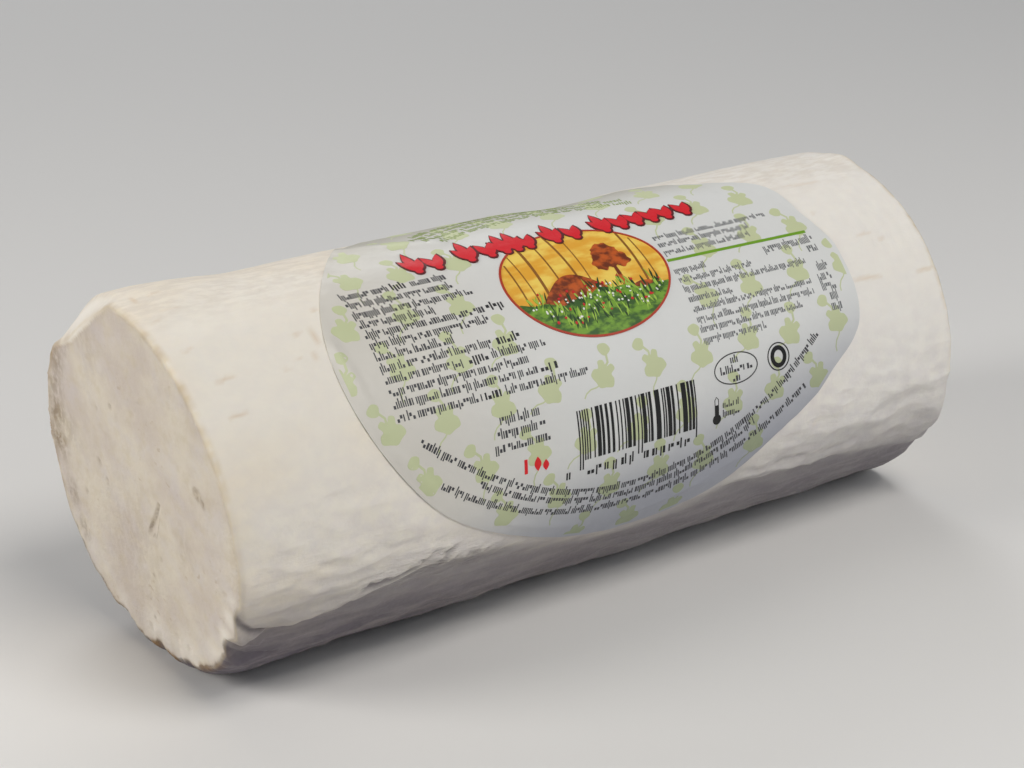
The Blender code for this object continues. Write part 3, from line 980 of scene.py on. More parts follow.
def rind_look():
    """The bloomy rind, with the bare paste on the cut faces and the rind's edge between them."""
    look = Look("cheese_rind")
    broad = look.noise((40, 26, 26), 2.0)
    colour = look.mix(look.ramp(broad, 0.35, 0.65), RIND_CREAM, RIND_WHITE)
    colour = look.mix(look.ramp(look.place("X"), -60, 75, 0.0, 0.8), colour, RIND_COOL)
    mottle = look.ramp(look.noise((3.6, 3, 3), 4.0, 2.0), 0.3, 0.7, 0.0, 0.36)
    mottle = look.sum("MULTIPLY", mottle, look.ramp(look.place("Z"), 30, 62, 1.0, 0.3))
    colour = look.mix(mottle, colour, RIND_MAUVE)
    # Painted shade: the rind darkens towards its underside, in streaks, a little less at the right
    low_down = look.ramp(look.place("Z"), 37, 7)
    low_down = look.sum("MULTIPLY", low_down, look.ramp(look.place("X"), -75, 15, 1.0, 0.8))
    streaks = look.noise((16, 2.6, 2.6), 4.0, 3.0)
    crest = look.ramp(look.place("Y"), -17, -2)
    ruffles = look.noise((5, 1.9, 1.9), 3.0, 5.0, 0.6)
    # Greyer streaks from the crest back, which also paint shade on the top of the log
    crest_grey_and_shade = look.sum("MULTIPLY", crest, look.ramp(ruffles, 0.35, 0.65, 0.1, 0.55))
    colour = look.mix(crest_grey_and_shade, colour, RIND_CREST_GREY_AND_SHADE)
    underside_shade = look.sum("MULTIPLY", low_down, look.ramp(streaks, 0.3, 0.65, 0.78, 1.0))
    colour = look.mix(underside_shade, colour, RIND_PAINTED_SHADE)
    colour = look.mix(look.mark("tan"), colour, RIND_TAN)
    # Painted shade in the grooves and below the ledge
    colour = look.mix(look.mark("shadow"), colour, RIND_PAINTED_SHADE)

    cloud = look.noise((15, 15, 13), 4.0, 4.0)
    paste = look.mix(look.ramp(cloud, 0.35, 0.65), PASTE_PALE, PASTE_GREY)
    curd = look.noise((3, 3.6, 2.8), 4.0, 6.0)
    paste = look.mix(look.ramp(curd, 0.45, 0.75, 0.0, 0.4), paste, PASTE_WARM)
    blush = look.noise((9, 8, 7), 3.0, 2.0)
    paste = look.mix(look.ramp(blush, 0.45, 0.7, 0.0, 0.3), paste, RIND_MAUVE)
    fleck_noise = look.noise((1.7, 2.4, 1.7), 3.0, 8.0)
    fleck_patch = look.ramp(look.noise((11, 11, 11), 1.0, 1.0), 0.45, 0.62)
    flecks = look.sum("MULTIPLY", look.ramp(fleck_noise, 0.62, 0.76, 0.0, 0.55), fleck_patch)
    paste = look.mix(flecks, paste, PASTE_TAN)
    ragged = look.ramp(look.noise((2, 1.6, 2.4), 3.0, 7.0, 0.6), 0.38, 0.6, 0.3, 1.25)
    # Stains, and the crack's painted shade
    paste = look.mix(look.sum("MULTIPLY", look.mark("stain_and_crack_shade"), ragged), paste, PASTE_SPECK_AND_SHADE)
    colour = look.mix(look.mark("paste"), colour, paste)
    # Whiter crumbs, and painted light on the facet and at the cut's foot
    colour = look.mix(look.mark("pale"), colour, PALE_CRUMB_AND_LIGHT)
    colour = look.mix(look.mark("rim"), colour, RIM_YELLOW)
    colour = look.mix(look.mark("crust"), colour, RIM_BROWN)

    fibres = look.noise((3.2, 1.6, 1.6), 4.0, 6.0)
    grain = look.noise((0.8, 0.8, 0.8), 3.0, 9.0)
    smooth_top = look.ramp(look.place("Z"), 22, 46, 1.0, 0.45)
    normal = look.bump(look.sum("MULTIPLY", fibres, smooth_top), 0.09)
    normal = look.bump(look.sum("MULTIPLY", ruffles, crest), 0.16, normal)
    folds = look.noise((6, 1.5, 1.5), 3.0, 12.0, 0.6)
    folds = look.sum("ABSOLUTE", look.sum("SUBTRACT", folds, 0.5), 0.0)
    normal = look.bump(look.sum("MULTIPLY", folds, look.mark("crinkle")), 1.6, normal)
    curds = look.noise((1.8, 2.4, 1.6), 4.0, 11.0, 0.6)
    normal = look.bump(look.sum("MULTIPLY", curds, look.mark("paste")), 0.42, normal)
    normal = look.bump(grain, 0.05, normal)
    look.set(Subsurface_Weight=0.12, Subsurface_Scale=2.0 * MM, Specular_IOR_Level=0.35)
    look.set(Subsurface_Radius=(1.0, 0.8, 0.6))
    roughness = look.ramp(grain, 0.3, 0.7, 0.55, 0.75)
    return look.finish(colour, roughness, normal)


def painted_shade_share(look):
    """How much painted shade the label gets at a place: most low down at its right."""
    rise = look.sum("ADD", look.place("Z"), look.sum("MULTIPLY", look.place("X"), -0.22))
    return look.ramp(rise, 48, 20, 0.0, 0.85)


def film_look():
    """The label's film: cool white, satin, a little wavy."""
    look = Look("film_white")
    colour = look.mix(look.ramp(look.place("X"), -60, -5), FILM_WARM, FILM_WHITE)
    # Painted shade over the crest and towards the back
    colour = look.mix(look.ramp(look.place("Y"), -7, 12, 0.0, 0.8), colour, FILM_PAINTED_BACK_SHADE)
    # Painted shade low down at the label's right
    colour = look.mix(painted_shade_share(look), colour, FILM_PAINTED_LOW_SHADE)
    look.set(Coat_Weight=0.12, Coat_Roughness=0.3)
    return look.finish_satin(colour, 0.4, 0.44, look.bump(look.grain(), 0.012, look.film_waves()))


def ink_look(name, colour):
    """An ink: one flat colour, with the film's own satin and waves."""
    look = Look(name)
    return look.finish_satin(colour, 0.4, 0.42, look.film_waves())


def leaf_look():
    """The pale green of the leaves, with the film's painted shade low down at the right."""
    look = Look("ink_pale_green")
    return look.finish_satin(look.mix(painted_shade_share(look), LEAF_GREEN, LEAF_PAINTED_LOW_SHADE), 0.4, 0.44)


def picture_look(name, first, second, size):
    """Two colours run into each other like a painted ground."""
    look = Look(name)
    blend = look.ramp(look.noise(size, 3.0, 4.0), 0.38, 0.62)
    return look.finish_satin(look.mix(blend, first, second), 0.45, 0.38)


# The log

def face_relief(side, y, z, share):
    """How far a cut face lies in from its plane, towards the log's middle."""
    place = Vector((side * FACE_NOISE_SHIFT, y, z)) / FACE_RELIEF_SIZE
    relief = FACE_RELIEF * noise.noise(place) * (1.0 - share ** 4)
    for size, height in CRUMB_SIZES:
        crumbly = 1.0 + 1.8 * ease(CRUMBLY_FROM, 1.0, share) * ease(-12, -26, z)
        relief += crumbly * height * noise.noise(Vector((side * 3.0, y / (1.5 * size), z / size)))
    return relief


def hollows(y, z, pits):
    """Depth of the pits and of the crack at a place on the near cut, and how strong the painted shade on
    the crack's walls and foot is.
    """
    depth = 0.0
    dark = 0.0
    for pit_y, pit_z, radius, pit_depth in pits:
        apart = math.hypot(y - pit_y, z - pit_z)
        if apart < radius:
            depth += pit_depth * bell(apart, radius)
    (top_y, top_z), (foot_y, foot_z) = CRACK
    down = (top_z - z) / (top_z - foot_z)
    if 0.0 < down < 1.0:
        width = CRACK_WIDTHS[0] + (CRACK_WIDTHS[1] - CRACK_WIDTHS[0]) * down
        across = (top_y + (foot_y - top_y) * down - y) / width
        ends = ease(0.0, 0.15, down) * (1.0 - ease(0.88, 1.0, down))
        slot = ease(-1.0, -0.6, across) * (1.0 - ease(-0.3, 1.0, across))
        depth = max(depth, CRACK_DEPTH * ends * slot)
        dark = ends * bell(across + 0.75, 0.4) + bell(down - 0.93, 0.08) * bell(across + 0.2, 0.9)
        dark += 0.7 * ends * bell(across - 0.7, 0.3) * ease(0.2, 0.45, down)
    return depth, min(dark, 1.0)


def edge_folds(angle, radius, share):
    """Folds that run beside the back edge of the near cut."""
    middle, half_angle, height, width, length = EDGE_FOLDS
    strength = bell(turn_between(angle, middle), half_angle) * ease(0.80, 0.93, share)
    if strength == 0.0:
        return 0.0
    along = angle * ARC_PER_DEGREE / length
    return height * strength * ridged(noise.noise(Vector((radius / width, along, 4.0))))


def near_pits():
    """The named pits and some loose ones: beside the axis, above it, radius, depth."""
    draw = random.Random(12)
    pits = list(PITS)
    for _ in range(LOOSE_PITS):
        reach = 36.0 * math.sqrt(draw.random())
        turn = draw.uniform(0.0, 2.0 * math.pi)
        radius = draw.uniform(0.7, 1.5)
        pits.append((reach * math.cos(turn), reach * math.sin(turn), radius, draw.uniform(0.06, 0.18)))
    return pits


def make_log():
    """The cheese as one closed mesh: the rind's rings from end to end, and a filled face on each end."""
    points = []
    for station in range(STATIONS):
        share = station_share(station)
        points += [rind_point(column_angle(column), share) for column in range(COLUMNS)]
    faces = []
    corners = []
    for station in range(STATIONS - 1):
        low = station_share(station) * LOG_LENGTH * MAP_SCALE
        high = station_share(station + 1) * LOG_LENGTH * MAP_SCALE
        for column in range(COLUMNS):
            after = (column + 1) % COLUMNS
            a = station * COLUMNS + column
            b = station * COLUMNS + after
            faces.append((a, a + COLUMNS, b + COLUMNS, b))
            left = (column_angle(column) - FRONT_MIDDLE) * ARC_PER_DEGREE * MAP_SCALE
            right = (column_angle(column + 1) - FRONT_MIDDLE) * ARC_PER_DEGREE * MAP_SCALE
            corners.append(((left, low), (left, high), (right, high), (right, low)))
    marks = [rind_marks(point) for point in points]
    pits = near_pits()
    angles = [column_angle(column) for column in range(COLUMNS)]
    for side, pitch, spots in ((-1, NEAR_FACE_PITCH, FINE_SPOTS), (1, FAR_FACE_PITCH, ())):
        first = 0 if side < 0 else (STATIONS - 1) * COLUMNS
        ring = points[first:first + COLUMNS]
        outline = [(point.y - AXIS_Y, point.z - AXIS_HEIGHT) for point in ring]
        radii = [math.hypot(y, z) for y, z in outline]
        places, triangles = fill(outline, pitch, spots)
        index = list(range(first, first + COLUMNS))
        for y, z in places[COLUMNS:]:
            angle = math.degrees(math.atan2(z, -y))
            edge = float(np.interp(angle, angles, radii, period=360.0))
            share = math.hypot(y, z) / edge
            depth, dark = hollows(y, z, pits) if side < 0 else (0.0, 0.0)
            if side < 0:
                depth -= edge_folds(angle, math.hypot(y, z), share)
            x = end_plane(side, y, z) - side * (face_relief(side, y, z, share) + depth)
            index.append(len(points))
            points.append(on_log(x, y, z))
            marks.append(cut_marks(angle, (1.0 - share) * edge, y, -side * z, dark))
        middle_across, middle_up = CUT_MAP_MIDDLES[side]
        for triangle in triangles:
            faces.append(tuple(index[i] for i in triangle))
            flat = [places[i] for i in triangle]
            corners.append([(middle_across + y * MAP_SCALE, middle_up + z * MAP_SCALE) for y, z in flat])
    shares = {name: [mark.get(name, 0.0) for mark in marks] for name in MARKS}
    return new_object("cheese_rind", points, faces, rind_look(), corners, shares)


def crust_share(angle):
    """How brown the rim of a cut is at an angle: most underneath and at the back."""
    under = bell(turn_between(angle, -85.0), 60.0)
    back = bell(turn_between(angle, 170.0), 60.0)
    grain = 0.5 + 1.2 * rind_noise(angle, 0.0, LOG_LENGTH, 4.0)
    front = bell(turn_between(angle, 62.0), 55.0)
    return min(max(grain, 0.0), 1.0) * max(0.95 * under, 0.85 * back, 0.4 * front, 0.12)


def patch_share(patches, y, z):
    """Strength of the strongest of the patches at a place on the cut."""
    share = 0.0
    for patch_y, patch_z, radius, strength in patches:
        apart = math.hypot(y - patch_y, z - patch_z)
        share = max(share, strength * bell(apart, radius))
    return share


def rim_share(angle, inward):
    """How yellow the rim of a cut is: a thin line, and ragged flecks beside it high in front."""
    line = RIM_STRENGTH * bell(inward, RIM_LINE)
    ragged = 0.5 + 1.4 * rind_noise(angle, inward, 3.0, 1.6)
    upper = bell(turn_between(angle, 50.0), 78.0)
    return max(line, FLECK_STRENGTH * upper * min(max(ragged, 0.0), 1.0) * bell(inward, FLECK_REACH))


def rind_marks(point):
    """How strong each mark is at a point of the rind."""
    x = point.x - AXIS_X
    y = point.y - AXIS_Y
    z = point.z - AXIS_HEIGHT
    angle = math.degrees(math.atan2(z, -y))
    arc = turn_between(angle, 0.0) * ARC_PER_DEGREE
    bare = 1.0 - label_cover(angle, x)
    below = along_line(LEDGE_LINE, x) - arc
    under = LEDGE_SHADE * ease(*LEDGE_SHADE_START, below) * (1.0 - ease(*LEDGE_SHADE_END, below))
    groove = max(long_creases(arc, x)[1], FLAP_SHADE * flap(arc, x)[1])
    marks = {
        "tan": tan_share((turn_between(angle, TAN_CUT) + TAN_CUT) * ARC_PER_DEGREE, x),
        "shadow": bare * max(GROOVE_SHADE * groove, under),
        "crinkle": bare * crinkle_share(arc, x),
    }
    from_near = x - end_plane(-1, y, z)
    inward = min(from_near, end_plane(1, y, z) - x)
    if inward < RIM_REACH:
        marks["rim"] = rim_share(angle, inward)
        marks["crust"] = crust_share(angle) * bell(inward, RIND_CRUST_REACH)
    # Painted light: the facet cut from the near rim is made paler
    facet_angle, facet_half, _, facet_reach = NEAR_RIM_LOSSES[0]
    facet = bell(turn_between(angle, facet_angle), facet_half) ** 0.5
    marks["pale"] = facet * (1.0 - ease(0.6, 1.0, from_near / facet_reach))
    return marks


def cut_marks(angle, inward, y, upward, dark):
    """How strong each mark is at a place of a cut face."""
    return {
        "paste": ease(0.2, 0.7, inward),
        "rim": rim_share(angle, inward),
        "crust": crust_share(angle) * bell(inward, CUT_CRUST_REACH),
        # Real stains, with the crack's painted shade
        "stain_and_crack_shade": max(patch_share(STAINS, y, upward), CRACK_SHADE * dark),
        "pale": patch_share(PALE_PATCHES_AND_LIGHT, y, upward),
    }


# The label

def film_relief(x, arc):
    """Waves and creases of the film."""
    height = 0.0
    for size, depth in FILM_WAVES:
        height += depth * noise.noise(Vector((x / size, arc / size, size)))
    for x0, arc0, x1, arc1, half_width, size in CREASES:
        gap = from_segment((x, arc), (x0, arc0), (x1, arc1))
        height += size * bell(gap, half_width)
    puckers = noise.noise(Vector((x / PUCKER_SIZE, arc / PUCKER_SIZE, 9.0)))
    return height + PUCKER_HEIGHT * puckers * ease(0.86, 0.99, label_share(x, arc))


def on_label(x, arc, height, hugs=False):
    """A point at a height above the rind, on the label; one that hugs the rind skips raised creases."""
    angle = arc / ARC_PER_DEGREE
    relief = film_relief(x, arc)
    if hugs:
        relief = min(relief, 0.0)
    return on_rind(angle, x, smooth_radius(angle, x) + relief + height)


class Slabs:
    """Thin closed shapes laid on the label, all of one ink, gathered into one mesh."""

    def __init__(self, low, high, hugs=False):
        self.low = low
        self.high = high
        self.hugs = hugs
        self.points = []
        self.faces = []
        self.flat = []
        self.tops = []

    def drape(self, places):
        """Lays flat places on the label twice, low and high; returns the first index of each."""
        firsts = []
        for height, top in ((self.low, False), (self.high, True)):
            firsts.append(len(self.points))
            self.points += [on_label(x, arc, height, self.hugs and not top) for x, arc in places]
            self.flat += places
            self.tops += [top] * len(places)
        return firsts

    def add(self, outline, pitch=FILM_PITCH):
        """A shape given by its outline on the label, as (x, arc) pairs."""
        outline = spaced(outline, pitch)
        places, triangles = fill(outline, pitch)
        under, over = self.drape(places)
        for a, b, c in triangles:
            self.faces.append((under + a, under + c, under + b))
            self.faces.append((over + a, over + b, over + c))
        for i in range(len(outline)):
            j = (i + 1) % len(outline)
            self.faces.append((under + i, under + j, over + j, over + i))

    def add_band(self, path, width, closed=False):
        """A strip of this width along a path; its ends meet if it is closed."""
        count = len(path)
        places = []
        for i, (x, arc) in enumerate(path):
            before = path[i - 1] if closed or i > 0 else path[0]
            after = path[(i + 1) % count] if closed or i < count - 1 else path[-1]
            step = (after[0] - before[0], after[1] - before[1])
            share = 0.5 * width / math.hypot(*step)
            places.append((x + step[1] * share, arc - step[0] * share))
            places.append((x - step[1] * share, arc + step[0] * share))
        under, over = self.drape(places)
        for i in range(count if closed else count - 1):
            right = 2 * i
            next_right = 2 * ((i + 1) % count)
            for first, second in ((under, under), (over, over)):
                far = second + 1
                self.faces.append((first + right, first + next_right, far + next_right, far + right))
            for edge in (0, 1):
                a = right + edge
                b = next_right + edge
                self.faces.append((under + a, under + b, over + b, over + a))
        if not closed:
            for a in (0, 2 * (count - 1)):
                self.faces.append((under + a, under + a + 1, over + a + 1, over + a))

    def corners(self):
        """Places in the bake's map: the top at full size, the rest small in a corner."""
        flat = np.array(self.flat)
        low = flat.min(axis=0)
        full = (flat - low) / (flat.max(axis=0) - low).max()
        result = []
        for face in self.faces:
            if all(self.tops[i] for i in face):
                result.append(tuple((0.005 + 0.78 * full[i][0], 0.215 + 0.78 * full[i][1]) for i in face))
            else:
                result.append(tuple((0.005 + 0.2 * full[i][0], 0.005 + 0.2 * full[i][1]) for i in face))
        return result

    def make(self, name, material):
        thing = new_object(name, self.points, self.faces, material, self.corners())
        thing.data.set_sharp_from_angle(angle=math.radians(50.0))
        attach(thing, "root")
        return thing


def label_outline():
    outline = []
    for number in range(FILM_EDGE_POINTS):
        direction = 360.0 * number / FILM_EDGE_POINTS
        turn = math.radians(direction)
        reach = label_reach(direction)
        outline.append((LABEL_X + LABEL_HALF_LENGTH * reach * math.cos(turn),
                        LABEL_ARC + LABEL_HALF_HEIGHT * reach * math.sin(turn)))
    return outline


def make_film():
    film = Slabs(FILM_UNDER, FILM_TOP, True)
    film.add(label_outline())
    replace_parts(film.make("film", film_look()), "label")


def print_layer(number):
    """Slabs for one layer of ink: it starts just inside the film and stands a little higher."""
    return Slabs(FILM_TOP - LAYER, FILM_TOP + number * LAYER)


# Shapes of the print, in millimetres on the label

def turned(places, x, arc, lean):
    """Places moved to (x, arc) and turned by lean degrees."""
    c = math.cos(math.radians(lean))
    s = math.sin(math.radians(lean))
    return [(x + c * px - s * py, arc + s * px + c * py) for px, py in places]


def oval(x, arc, half_x, half_arc, count=24, lean=0.0):
    ring = []
    for number in range(count):
        turn = 2.0 * math.pi * number / count
        ring.append((half_x * math.cos(turn), half_arc * math.sin(turn)))
    return turned(ring, x, arc, lean)


def rounded(places, steps=3):
    """A closed outline through the places, its corners softened."""
    count = len(places)
    result = []
    for i in range(count):
        a, b, c, d = (np.array(places[(i + k) % count]) for k in (-1, 0, 1, 2))
        for k in range(steps):
            t = k / steps
            bend = 2.0 * a - 5.0 * b + 4.0 * c - d
            twist = 3.0 * b - a - 3.0 * c + d
            result.append(tuple(b + 0.5 * ((c - a) * t + bend * t ** 2 + twist * t ** 3)))
    return result


def petal(x, arc, length, width, lean):
    """A shape pointed at both ends, its foot at (x, arc), which leans lean degrees left of upright."""
    right = [(0.5 * width * math.sin(math.pi * t / 6), length * t / 6) for t in range(7)]
    left = [(-px, py) for px, py in reversed(right[1:-1])]
    return turned(right + left, x, arc, lean)


def block(x, arc, wide, tall, lean):
    return turned([(0.0, 0.0), (wide, 0.0), (wide, tall), (0.0, tall)], x, arc, lean)


def path_place(path, distance):
    """Place and direction in degrees at a distance along a path."""
    for (x0, y0), (x1, y1) in zip(path, path[1:]):
        step = math.hypot(x1 - x0, y1 - y0)
        if distance <= step or (x1, y1) == path[-1]:
            share = distance / step
            lean = math.degrees(math.atan2(y1 - y0, x1 - x0))
            return x0 + share * (x1 - x0), y0 + share * (y1 - y0), lean
        distance -= step


def path_length(path):
    return sum(math.hypot(x1 - x0, y1 - y0) for (x0, y0), (x1, y1) in zip(path, path[1:]))


def bent_path(start, end, middle, level, bend):
    """A path from one x to another, lowest or highest at the middle: level + bend times x squared."""
    steps = 24
    xs = [start + (end - start) * k / steps for k in range(steps + 1)]
    return [(x, level + bend * (x - middle) ** 2) for x in xs]


def word_line(slabs, path, x_height, advance, draw):
    """Words of small plain blocks along a path: thin and wide, high and low, in no order."""
    length = path_length(path)
    at = 0.0
    left_in_word = draw.randint(3, 12)
    while at < length - 0.4 * advance:
        wide, foot, top = draw.choice(SIGNS)
        wide *= advance
        x, arc, lean = path_place(path, at)
        corners = [(0.0, foot), (wide, foot), (wide, top), (0.0, top)]
        slabs.add(turned([(px, py * x_height) for px, py in corners], x, arc, lean), 3.0)
        at += wide + SIGN_GAP * advance
        left_in_word -= 1
        if left_in_word == 0:
            at += WORD_GAP * advance
            left_in_word = draw.randint(3, 12)


# Words of the label: lines of blocks

def make_words():
    draw = random.Random(5)
    words = print_layer(2)
    for arc, right in TEXT_LINES:
        bold = [(start, end) for line, start, end in BOLD_WORDS if line == arc]
        stops = [TEXT_LEFT] + [x for pair in bold for x in (pair[0] - 0.6, pair[1] + 0.6)] + [right]
        for start, end in zip(stops[::2], stops[1::2]):
            if end - start > 1.0:
                word_line(words, [(start, arc - 0.65), (end, arc - 0.65)], X_HEIGHT, 0.92, draw)
    for left, right, arc in WEIGHT_LINES:
        word_line(words, [(left, arc - 0.7), (right, arc - 0.7)], 1.5, 1.0, draw)
    for start, end, middle, level, bend in EDGE_LINES:
        word_line(words, bent_path(start, end, middle, level, bend), 1.35, 0.95, draw)
    for row, count in ((13.3, 2), (11.3, 7), (9.3, 2)):
        half = 0.625 * count
        word_line(words, [(29.0 - half, row - 0.6), (29.0 + half, row - 0.6)], 1.2, 1.1, draw)
    for arc in (3.6, 1.6):
        word_line(words, [(24.4, arc), (29.0, arc)], 1.1, 0.9, draw)
    words.make("print_words", ink_look("ink_grey", shade(66, 66, 70)))
    heavy = print_layer(2)
    for arc, start, end in BOLD_WORDS:
        word_line(heavy, [(start, arc - 0.65), (end, arc - 0.65)], 1.05 * X_HEIGHT, 1.35, draw)
    heavy.make("print_heavy_words", ink_look("ink_black", shade(34, 34, 38)))
    table = print_layer(2)
    for arc, right in TABLE_HEAD:
        word_line(table, [(TABLE_LEFT + 0.5, arc - 0.6), (right, arc - 0.6)], TABLE_X_HEIGHT, 0.85, draw)
    for arc, right, value in TABLE_LINES:
        foot = arc - 0.6
        word_line(table, [(TABLE_LEFT, foot), (right, foot)], TABLE_X_HEIGHT, 0.74, draw)
        if value:
            word_line(table, [(value, foot), (TABLE_RIGHT, foot)], 1.4 * TABLE_X_HEIGHT, 0.8, draw)
    table.make("print_table", ink_look("ink_pale", shade(112, 114, 116)))
    green = print_layer(2)
    for start, end, level in TOP_LINES:
        word_line(green, bent_path(start, end, 2.0, level, -0.007), 1.5, 1.15, draw)
    green.make("print_top_words", ink_look("ink_olive", shade(138, 156, 84)))
    rule = print_layer(3)
    rule.add([(22.0, 38.05), (61.2, 37.35), (61.2, 38.05), (22.0, 38.75)])
    rule.make("print_rule", ink_look("ink_leaf", shade(112, 160, 34)))


def make_headline():
    red = print_layer(9)
    dark = print_layer(8)
    for x, height in HEADLINE_PLACES:
        bloom = TALL_BLOOM if height > 6.0 else LOW_BLOOM
        red.add(oval(x, HEADLINE_BASE + 0.3, 0.9, 0.7, 10))
        dark.add(oval(x + 0.15, HEADLINE_BASE + 0.2, 1.25, 1.05, 10))
        for length, width, lean in bloom:
            tall = length * height
            red.add(petal(x, HEADLINE_BASE, tall, width, lean))
            wide = width + 2.0 * BLOOM_EDGE
            dark.add(petal(x + 0.15, HEADLINE_BASE - 0.4, tall + 0.75, wide, lean))
    red.make("print_blooms", ink_look("ink_red", shade(218, 24, 38)))
    dark.make("print_bloom_edges", ink_look("ink_maroon", shade(92, 22, 24)))


# Leaves printed all over the film, under everything else

def leaf_outline(x, arc, size, lean):
    return turned([(size * px, size * py) for px, py in rounded(LEAF)], x, arc, lean)


def cut_to_label(outline):
    """What of an outline lies on the label, cut along a straight line where it crosses the edge."""
    if max(label_share(x, arc) for x, arc in outline) < LEAF_LIMIT:
        return outline
    middle_x = sum(x for x, arc in outline) / len(outline)
    middle_arc = sum(arc for x, arc in outline) / len(outline)
    across = (middle_x - LABEL_X) / LABEL_HALF_LENGTH
    up = (middle_arc - LABEL_ARC) / LABEL_HALF_HEIGHT
    direction = math.degrees(math.atan2(up, across))
    ends = []
    for turn in (direction - 2.0, direction + 2.0):
        reach = LEAF_LIMIT * label_reach(turn)
        ends.append((LABEL_X + reach * LABEL_HALF_LENGTH * math.cos(math.radians(turn)),
                     LABEL_ARC + reach * LABEL_HALF_HEIGHT * math.sin(math.radians(turn))))
    (ax, ay), (bx, by) = ends
    inside = [(bx - ax) * (y - ay) - (by - ay) * (x - ax) for x, y in outline]
    kept = []
    for i, (x, y) in enumerate(outline):
        j = (i + 1) % len(outline)
        if inside[i] > 0.0:
            kept.append((x, y))
        if (inside[i] > 0.0) != (inside[j] > 0.0):
            share = inside[i] / (inside[i] - inside[j])
            kept.append((x + share * (outline[j][0] - x), y + share * (outline[j][1] - y)))
    return kept


def add_leaf_shape(leaves, outline):
    kept = cut_to_label(outline)
    if len(kept) > 3:
        leaves.add(kept)


def add_sprig(leaves, x, arc, lean):
    """A lobed leaf with a small leaf above it and a curling stalk below."""
    add_leaf_shape(leaves, leaf_outline(x, arc, LEAF_SIZE, lean))
    add_leaf_shape(leaves, turned(rounded(BUD), x, arc, lean))
    for stalk, width in ((NECK, 0.55), (STALK, 0.3)):
        path = turned(stalk, x, arc, lean)
        if all(label_share(px, py) < LEAF_LIMIT for px, py in path):
            leaves.add_band(path, width)


def make_leaves():
    draw = random.Random(21)
    leaves = print_layer(1)
    for row in range(LEAF_ROWS):
        for column in range(-LEAF_COLUMNS, LEAF_COLUMNS + 1):
            x = LEAF_START[0] + LEAF_PITCH[0] * (column + 0.5 * (row % 2)) + draw.uniform(-0.8, 0.8)
            arc = LEAF_START[1] + LEAF_PITCH[1] * row + draw.uniform(-0.7, 0.7)
            lean = draw.uniform(-34.0, 22.0)
            if label_share(x, arc) < 1.02 and not in_picture(x, arc, 1.12):
                add_sprig(leaves, x, arc, lean)
    leaves.make("print_leaves", leaf_look())


# Stripes and small marks

def make_marks():
    draw = random.Random(8)
    black = print_layer(3)
    at = STRIPES_LEFT
    while at < STRIPES_RIGHT:
        wide = draw.choice(STRIPE_WIDTHS)
        foot = STRIPES_FOOT
        if at < -12.8 or 0.3 < at < 2.2 or at > 16.2:
            wide = STRIPE_WIDTHS[0]
            foot = LOW_STRIPES_FOOT
        black.add([(at, foot), (at + wide, foot), (at + wide, STRIPES_TOP), (at, STRIPES_TOP)])
        at += wide + draw.choice(STRIPE_GAPS)
    for number in range(12):
        x = -12.0 + 2.2 * number + (1.6 if number > 5 else 0.0)
        word_line(black, [(x, -2.6), (x + 1.5, -2.6)], 1.6, 1.25, draw)
    word_line(black, [(-17.4, -2.6), (-15.9, -2.6)], 1.6, 1.25, draw)
    black.add_band(oval(29.0, 11.5, 6.0, 3.3, 48), 0.22, True)
    black.add_band(oval(41.2, 11.5, 3.0, 3.0, 36), 0.25, True)
    black.add_band(oval(41.2, 11.5, 1.75, 1.95, 30), 1.0, True)
    black.add(oval(22.7, 1.4, 1.15, 1.15, 16))
    black.add([(22.15, 1.6), (23.25, 1.6), (23.25, 4.6), (22.15, 4.6)])
    black.add_band([(22.2, 4.6), (22.2, 5.8), (22.7, 6.4), (23.2, 5.8), (23.2, 4.6)], 0.15)
    black.make("print_stripes", ink_look("ink_stripes", shade(18, 18, 20)))
    red = print_layer(3)
    red.add(block(-27.9, 1.4, 0.75, 3.1, 0.0))
    red.add(petal(-24.6, 1.4, 3.1, 1.7, 0.0))
    red.add(petal(-22.6, 1.1, 2.4, 1.5, 0.0))
    red.make("print_red_mark", ink_look("ink_red_mark", shade(222, 22, 32)))


def in_picture(x, arc, reach=1.0):
    across = (x - PICTURE_PLACE[0]) / PICTURE_HALF[0]
    up = (arc - PICTURE_PLACE[1]) / PICTURE_HALF[1]
    return math.hypot(across, up) < reach


def ground_level(x):
    return 34.6 + 0.9 * math.sin(0.28 * x + 0.6) + 0.35 * math.sin(0.9 * x)


def hill_level(x):
    return 33.0 + 7.5 * bell(x + 4.0, 12.5) + 2.2 * bell(x - 13.0, 7.0)


def under_line(level, count=60):
    """The part of the picture's oval below a wavy line."""
    ring = oval(*PICTURE_PLACE, *PICTURE_HALF, 96)
    lower = sorted(place for place in ring if place[1] < level(place[0]))
    left = lower[0][0]
    right = lower[-1][0]
    xs = [right + (left - right) * k / count for k in range(1, count)]
    return lower + [(x, level(x)) for x in xs]


def scatter_petals(slabs, draw, count, low, high, length, width):
    """Grass blades on the meadow, from the ground line down."""
    for _ in range(count):
        x = draw.uniform(-19.5, 21.0)
        arc = ground_level(x) + draw.uniform(low, high)
        tall = draw.uniform(*length)
        if in_picture(x, arc, 0.93) and in_picture(x, arc + tall, 0.95):
            slabs.add(petal(x, arc, tall, draw.uniform(*width), draw.uniform(-28.0, 28.0)), 2.0)


def scatter_dots(slabs, draw, count, low, high, size):
    for _ in range(count):
        x = draw.uniform(-19.0, 20.5)
        arc = ground_level(x) + draw.uniform(low, high)
        if in_picture(x, arc, 0.92):
            slabs.add(oval(x, arc, draw.uniform(*size), draw.uniform(*size), 7), 2.0)


